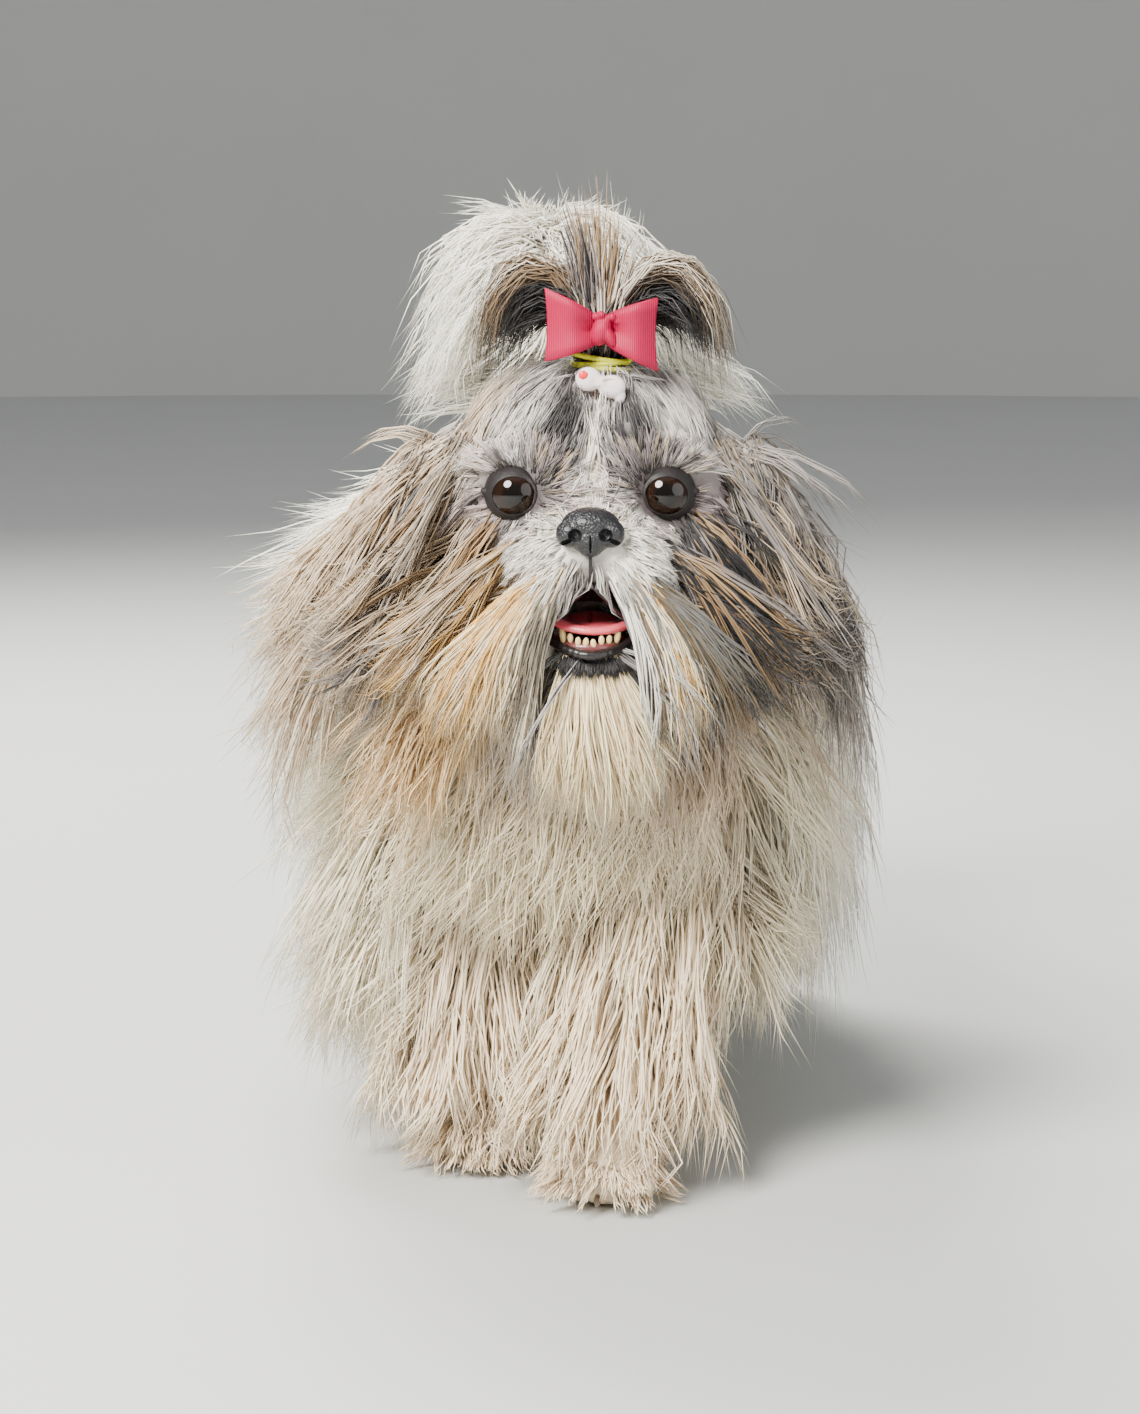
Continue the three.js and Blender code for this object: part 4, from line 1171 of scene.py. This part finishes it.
def topknot(locks, side, n):
    r = locks.rng
    t = r.uniform(0, 1, n)
    layer = r.uniform(0, 1, n)
    a = TIE + columns(side * 3 + r.normal(0, 2, n), r.normal(0, 3, n), 0)
    deep = r.uniform(-14, 24, n)
    tip_x = 4 + side * (30 + 17 * layer + r.normal(0, 2, n))
    tip = columns(tip_x, -184 + deep, 294 + 14 * (1 - layer) + r.normal(0, 4, n))
    top = 322 + 32 * layer
    b = columns(4 + side * (3 + 8 * t), -190 + deep * 0.3, top)
    c = columns(4 + side * (26 + 20 * layer), -186 + deep * 0.8, top)
    # Charcoal hair; the inner layers get no tan or white streaks, painted shade of the knot's underside.
    tone = tint(np.tile(CHARCOAL * 1.2, (n, 1)), TAN, (layer > 0.62) * r.uniform(0, 0.7, n))
    tone = tint(tone, rgb(0.72, 0.64, 0.52), (layer > 0.8) * (r.uniform(0, 1, n) < 0.5) * 0.85)
    out = np.array([side * 0.5, -0.4, 1])
    locks.add(a, b, c, tip, tone, out, 9, 0.95, 3.0, tip=0.9, wave=1.6, fly=2.4, dark=0.3)


def crest(locks, n):
    r = locks.rng
    x = r.normal(0, 6, n)
    a = TIE + columns(x * 0.3, r.normal(0, 3, n), 0)
    d = columns(1 + x * 1.3, -186 + r.normal(0, 8, n), 360 + r.uniform(-12, 12, n) - np.abs(x))
    b = a + (d - a) * 0.33 + columns(-x * 0.2, -2.0, 0)
    c = a + (d - a) * 0.7 + columns(-x * 0.1, 2.0, 0)
    tone = pick_tone(r, [rgb(0.72, 0.64, 0.54), TAN, GREY, CHARCOAL * 2], n)
    locks.add(a, b, c, d, tone, [0, -1, 0], 8, 0.9, 2.6, tip=1.2, wave=1.5, fly=2.2, dark=0.2)


knot_locks = Locks(31)
topknot(knot_locks, 1, count(130))
topknot(knot_locks, -1, count(130))
crest(knot_locks, count(46))
print("topknot strands, triangles:", weave_locks("coat_topknot", knot_locks, rings=5))
for o in coat_pieces:
    if "topknot" in o.name:
        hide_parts("topknot")

# %% Back of the head and nape
def nape(locks, n):
    r = locks.rng
    turn = r.uniform(-1.7, 1.7, n)
    z = r.uniform(225, 298, n)
    guess = columns(50 * np.sin(turn), -178 + 52 * np.cos(turn), z)
    a, normal, _ = on_skin(guess)
    away = r.uniform(14, 64, n)
    d = a + normal * [22, 30, 0] + columns(0, away, -r.uniform(30, 58, n))
    b = a + (d - a) * 0.3 + normal * 9
    c = a + (d - a) * 0.72 + normal * 6
    dark = pick_tone(r, [GREY, BEIGE, CHARCOAL * 2], n)
    tone = tint(marking_and_shade(a + [0, 60, 0]), dark, soft(z, 235, 275) * 0.7)
    locks.add(a, b, c, d, tone, normal, 9, 1.3, 6, tip=0.6, wave=5, fly=3)


nape_locks = Locks(33)
nape(nape_locks, count(230))
print("nape strands, triangles:", weave_locks("coat_nape", nape_locks, rings=4))

# %% [markdown]
# ## Eyes, nose, mouth
# These pieces carry the expression, so each is modelled on its own: dark wet eyes in black lids, a pebbled
# nose with comma nostrils, and an open mouth with tongue, teeth and black lips.

# %% Finishes of the face
def centred(nodes, links, at):
    """Object coordinates measured from a place, in millimetres."""
    where = add_node(nodes, "TexCoord")
    move = add_node(nodes, "VectorMath", "MULTIPLY_ADD")
    move.inputs[1].default_value = (1000, 1000, 1000)
    move.inputs[2].default_value = tuple(-metres(at) * 1000)
    links.new(where.outputs["Object"], move.inputs[0])
    return move.outputs["Vector"]


IRIS_STOPS = [
    (0.0, (0.002, 0.0015, 0.001)), (0.40, (0.003, 0.002, 0.0015)), (0.56, (0.012, 0.0045, 0.0018)),
    (0.80, (0.008, 0.003, 0.0014)), (0.88, (0.003, 0.002, 0.0015)), (0.97, (0.03, 0.02, 0.018)),
]
EYE_RADIUS = 10.0


def eye_material(side, at):
    """Rings of colour round the pupil, set by the distance from the eye's axis and broken by fibres."""
    m, nodes, links, shader = new_material(
        f"eye_{side}", (0.03, 0.015, 0.008), 0.06,
        Coat_Weight=0.25, Coat_Roughness=0.02, Specular_IOR_Level=0.32,
    )
    flat = add_node(nodes, "VectorMath", "MULTIPLY")
    flat.inputs[1].default_value = (1, 0, 1)
    links.new(centred(nodes, links, at), flat.inputs[0])
    away = add_node(nodes, "VectorMath", "LENGTH")
    links.new(flat.outputs["Vector"], away.inputs[0])
    fibres = add_node(nodes, "TexNoise", Scale=0.9, Detail=4)
    links.new(flat.outputs["Vector"], fibres.inputs["Vector"])
    add = add_node(nodes, "Math", "MULTIPLY_ADD")
    add.inputs[1].default_value = 1.2
    links.new(fibres.outputs["Fac"], add.inputs[0])
    links.new(away.outputs["Value"], add.inputs[2])
    share = add_node(nodes, "Math", "DIVIDE")
    share.inputs[1].default_value = EYE_RADIUS
    links.new(add.outputs[0], share.inputs[0])
    ramp = add_node(nodes, "ValToRGB")
    while len(ramp.color_ramp.elements) < len(IRIS_STOPS):
        ramp.color_ramp.elements.new(0.5)
    for spot, (place, colour) in zip(ramp.color_ramp.elements, IRIS_STOPS):
        spot.position = place
        spot.color = (*colour, 1)
    links.new(share.outputs[0], ramp.inputs["Fac"])
    links.new(ramp.outputs["Color"], shader.inputs["Base Color"])
    return m


def leather_material(name, base, rough, size, strength, distance, **sockets):
    """Wet or dry leather: a colour that varies a little and a pebbled bump."""
    m, nodes, links, shader = new_material(name, base, rough, **sockets)
    relief = place_group(nodes, fine_relief, Size=size)
    shaded = shade_range(nodes, links, relief.outputs["Height"], 0.75, 1.2)
    shaded.inputs[0].default_value = base
    links.new(shaded.outputs["Vector"], shader.inputs["Base Color"])
    add_bump(nodes, links, shader, relief.outputs["Height"], strength, distance)
    return m


lid_look = leather_material("eyelid", (0.006, 0.004, 0.004), 0.6, 900.0, 0.4, 0.0002)
nose_look = leather_material("nose_leather", (0.007, 0.0075, 0.009), 0.38, 1100.0, 0.9, 0.0004,
                             Coat_Weight=0.2)
lip_look = leather_material("lip", (0.008, 0.006, 0.006), 0.38, 700.0, 0.4, 0.0002, Coat_Weight=0.2)
tongue_look = leather_material("tongue", (0.72, 0.09, 0.12), 0.3, 1500.0, 0.5, 0.0002, Coat_Weight=0.5,
                               Subsurface_Weight=0.15)
tooth_look = leather_material("tooth", (0.62, 0.45, 0.20), 0.25, 500.0, 0.15, 0.0001, Coat_Weight=0.4)
gum_look = leather_material("gum", (0.12, 0.03, 0.03), 0.3, 800.0, 0.3, 0.0001, Coat_Weight=0.4)
claw_look = leather_material("claw", (0.20, 0.15, 0.11), 0.35, 600.0, 0.2, 0.0001)


def finished(o, name, look, *solids):
    """Smooth shading, material and bookkeeping of a finished piece."""
    apply_all(o)
    o.name = name
    bpy.ops.object.shade_smooth()
    o.data.materials.clear()
    o.data.materials.append(look)
    if solids:
        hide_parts(*solids)
    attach(o, "root")
    return o


def arc(points, r, count=26):
    """A bent rod of overlapping balls, blended later."""
    return [add_ball(p, r, fine=2) for p in along(points, np.linspace(0, 1, count))]


# %% Eyes and lids
def add_ring(at, wide, high, thick, turn):
    deselect()
    bpy.ops.mesh.primitive_torus_add(
        location=metres(at), rotation=(math.pi / 2, 0, turn), major_segments=48, minor_segments=12,
        major_radius=1, minor_radius=thick / wide,
    )
    o = bpy.context.object
    o.scale = (wide / 1000, high / 1000, wide / 1000)
    return o


for side, s in (("left", 1), ("right", -1)):
    at = EYES[side]
    ball = add_ball(at, [EYE_RADIUS] * 3, fine=4)
    finished(ball, f"eyeball_{side}", eye_material(side, at), f"eye_{side}")
    lid_parts = [
        add_ring(at + [s * 0.7, -4.9, 0.0], 8.5, 7.7, 0.9, s * 0.26),
        add_ball(at + [-s * 8.6, -4.6, -1.2], [2.2, 1.4, 1.3]),
        add_ball(at + [s * 9.6, -1.6, 0.8], [2.4, 2, 1.4]),
        add_ball(at + [0, 0.8, 0], [10.75, 10.75, 10.75], fine=4),
    ]
    lids = blend(fuse(lid_parts, "lids"), 0.45, 3)
    carve(lids, add_ball(at + [s * 0.5, -10.5, -0.5], [8.2, 9.0, 7.2], turn=(0, s * 0.10, 0), fine=4))
    finished(lids, f"eyelid_{side}", lid_look)

# %% Nose
nose_parts = [add_ball([0, -239.0, 248.6], [10.4, 7.8, 6.6]), add_ball([0, -240.8, 244.4], [7.0, 6.4, 5.6])]
nose_parts += [add_ball([s * 7.2, -241.4, 246.2], [4.8, 5.0, 5.0]) for s in (1, -1)]
nose_parts.append(add_ball([0, -242.0, 241.4], [4.4, 4.2, 3.4]))
nose = blend(fuse(nose_parts, "nose"), 0.45, 6)
for s in (1, -1):
    carve(nose, add_ball([s * 5.3, -247.2, 245.9], [2.5, 4.4, 2.5], turn=(0, s * 0.5, 0)))
    carve(nose, add_ball([s * 8.6, -245.2, 243.4], [3.0, 3.4, 0.9], turn=(0, s * 0.45, 0)))
carve(nose, add_ball([0, -247.4, 241.6], [0.45, 2.6, 4.6]))
finished(nose, "nose_pad", nose_look, "nose")

# %% Mouth
TONGUE_RIM = [
    [-13.6, -227, 215.2], [-8, -232, 213], [0, -234.4, 211.8], [8, -232, 212.2], [13.4, -227, 213.4],
]
GUM_LINE = [[-11.4, -227, 207.8], [-6, -234, 206.2], [0, -236, 205.8], [6, -234, 206], [11.4, -227, 207.2]]
LOWER_LIP = [
    [-15.6, -224, 211], [-11, -231.5, 206.4], [0, -238.4, 203.6], [11, -231.5, 205.8], [15.4, -224, 209.6],
]
TEETH = ((-6.9, 0.4), (-4.2, -0.2), (-1.5, 0.1), (1.1, -0.3), (3.9, 0.3), (6.6, 0.0))  # place across, rise
UPPER_LIPS = ((-1, 212, 219.4), (1, 211, 219))  # side, and the heights of corner and middle

tongue_parts = arc(TONGUE_RIM, [2.4, 3.2, 1.7])
tongue_parts += [add_ball([0, -222, 212.2], [11.5, 13, 2.0]), add_ball([0, -212, 213], [10, 12, 3.4])]
tongue = blend(fuse(tongue_parts, "tongue"), 0.55, 5)
carve(tongue, add_ball([0, -224, 216.2], [1.0, 12, 2.6]))
finished(tongue, "tongue_form", tongue_look, "tongue")

gum = blend(fuse(arc(GUM_LINE, [1.7, 1.7, 1.9]), "gum"), 0.4, 3)
finished(gum, "lower_gum", gum_look)
teeth = []
for k, (x, rise) in enumerate(TEETH):
    place = [x, -236.9 + (x / 10) ** 2 * 6, 207.7 + abs(x) * 0.16 + rise]
    teeth.append(add_ball(place, [1.05, 0.8, 1.7], turn=(0, 0.12 * (k % 3 - 1), 0)))
for s in (1, -1):
    teeth.append(add_ball([s * 9.5, -232.2, 209.9], [1.25, 1.2, 2.9], turn=(0, s * 0.15, 0)))
teeth = fuse(teeth, "teeth")
finished(teeth, "lower_teeth", tooth_look, "teeth_lower")

lip_parts = arc(LOWER_LIP, [2.0, 2.2, 1.9])
for s, low, high in UPPER_LIPS:
    line = [[s * 15.8, -225, low], [s * 9.5, -232.4, high], [s * 3.6, -237.6, 225], [0, -239.4, 229]]
    lip_parts += arc(line, [1.1, 1.3, 1.2])
lip_parts += arc([[0, -239.6, 228], [0, -241.6, 234], [0, -241.4, 240]], [0.8, 1.0, 1.5], 12)
lips = blend(fuse(lip_parts, "lips"), 0.6, 3)
finished(lips, "lip_line", lip_look)
print("face pieces:", len(nose.data.polygons), len(tongue.data.polygons), len(lips.data.polygons))

# %% [markdown]
# ## Bow, band, clip and claws
# The bow is a grosgrain ribbon: two open loops pinched by a knot, with fine ribs across the ribbon. Below
# it are a wound elastic and a small clear clip.

# %% Bow and band finishes
PINK = (0.40, 0.0005, 0.045)


def ribbon_material():
    m, nodes, links, shader = new_material("pink_ribbon", PINK, 0.5, Specular_IOR_Level=0.3)
    where = add_node(nodes, "TexCoord")
    ribs = add_node(nodes, "TexWave", Scale=420, Distortion=0.3)
    ribs.bands_direction = "X"
    links.new(where.outputs["Object"], ribs.inputs["Vector"])
    shaded = shade_range(nodes, links, ribs.outputs["Fac"], 0.78, 1.05)
    shaded.inputs[0].default_value = PINK
    links.new(shaded.outputs["Vector"], shader.inputs["Base Color"])
    add_bump(nodes, links, shader, ribs.outputs["Fac"], 0.5, 0.0002)
    return m


ribbon_look = ribbon_material()
elastic_look = leather_material("elastic", (0.55, 0.58, 0.01), 0.5, 1600.0, 0.5, 0.0002)
clip_look = leather_material("clear_plastic", (0.92, 0.80, 0.80), 0.12, 300.0, 0.1, 0.0001,
                             Transmission_Weight=0.3, Coat_Weight=0.6)
dot_look = leather_material("red_dot", (0.75, 0.03, 0.03), 0.3, 900.0, 0.1, 0.0001)


def reshape(o, form):
    """Moves the vertices of a primitive by a function of its own coordinates."""
    n = len(o.data.vertices)
    flat = np.zeros(n * 3)
    o.data.vertices.foreach_get("co", flat)
    o.data.vertices.foreach_set("co", metres(form(flat.reshape(n, 3))).ravel())
    o.data.update()


def loop_form(side, lift):
    def form(p):
        t = (p[:, 0] * side + 1) / 2
        front = p[:, 1] < 0
        high = 4.4 + 8.4 * t**0.75
        z = 314.6 + lift * t + p[:, 2] * high
        y = -203.2 + p[:, 1] * (2.2 + 3.4 * np.sin(np.pi * np.clip(t, 0, 1)))
        crease = np.exp(-((p[:, 2] / 0.3) ** 2)) * np.exp(-(((t - 0.22) / 0.3) ** 2))
        y = y + front * (2.8 * crease - 1.6 * p[:, 2] ** 2 * t) + (~front) * 0.8 * p[:, 2] ** 2
        x = 4 + side * (1.2 + 17.6 * t + 0.9 * p[:, 2] ** 2 * t)
        return columns(x, y, z)
    return form


def ribbon_loop(side, lift):
    deselect()
    bpy.ops.mesh.primitive_cylinder_add(vertices=48, radius=1, depth=2, end_fill_type="NOTHING")
    o = bpy.context.object
    bpy.ops.object.mode_set(mode="EDIT")
    bpy.ops.mesh.select_all(action="SELECT")
    bpy.ops.mesh.subdivide(number_cuts=5)
    bpy.ops.object.mode_set(mode="OBJECT")
    reshape(o, loop_form(side, lift))
    thick = o.modifiers.new("thick", "SOLIDIFY")
    thick.thickness = 0.0006
    thick.offset = 0
    return o


finished(ribbon_loop(1, -1.6), "ribbon_left", ribbon_look, "bow_loop_left")
finished(ribbon_loop(-1, 1.8), "ribbon_right", ribbon_look, "bow_loop_right")
knot_parts = [
    add_ball([4, -204.6, 314.4], [3.6, 4.6, 5.6], turn=(0, 0.3, 0)),
    add_ball([6.6, -205.0, 312.6], [2.2, 4.0, 5.4], turn=(0, -0.5, 0)),
]
for k in range(5):
    place = [2 + 1.9 * k, -206.2 - (k % 2), 319.4 - 0.4 * k + (k % 2)]
    knot_parts.append(add_ball(place, [1.5, 1.6, 1.5]))
finished(blend(fuse(knot_parts, "knot"), 0.45, 2), "ribbon_knot", ribbon_look, "bow_knot")

bands = []
for k, turn in enumerate((0.10, -0.06, 0.16)):
    deselect()
    bpy.ops.mesh.primitive_torus_add(
        location=metres([4, -190.2, 301.4 + 1.6 * k]), rotation=(0.05, turn, 0), major_segments=64,
        minor_segments=10, major_radius=0.0101, minor_radius=0.00095,
    )
    bands.append(bpy.context.object)
finished(fuse(bands, "band"), "wound_elastic", elastic_look, "hair_band")

clip_parts = [
    add_ball([-0.6, -208.4, 297.6], [4.6, 2.6, 4.4]), add_ball([7.6, -208.2, 295.0], [5.0, 2.6, 4.2]),
    add_ball([3.5, -208.6, 296.6], [4.4, 2.2, 2.4]), add_ball([10.4, -207.8, 291.8], [2.2, 1.8, 3.0]),
]
clip = blend(fuse(clip_parts, "clip"), 0.45, 3)
carve(clip, add_ball([6.6, -210.6, 297.2], [2.2, 1.6, 0.8]))
finished(clip, "clear_clip", clip_look, "hair_clip")
finished(add_ball([-2.4, -210.7, 299.2], [1.7, 0.9, 1.5]), "clip_dot", dot_look)

# %% Claws
claws = []
for line in LEGS.values():
    x, y, _ = line[2]
    for k in TOES:
        place = [x + k * 8.6, y - 28.4 + abs(k) * 4, 4.6]
        claws.append(add_ball(place, [1.3, 3.6, 1.7], turn=(0.35, 0, 0), fine=2))
finished(fuse(claws, "claws"), "claws", claw_look)
print("pieces of face and dress ready")
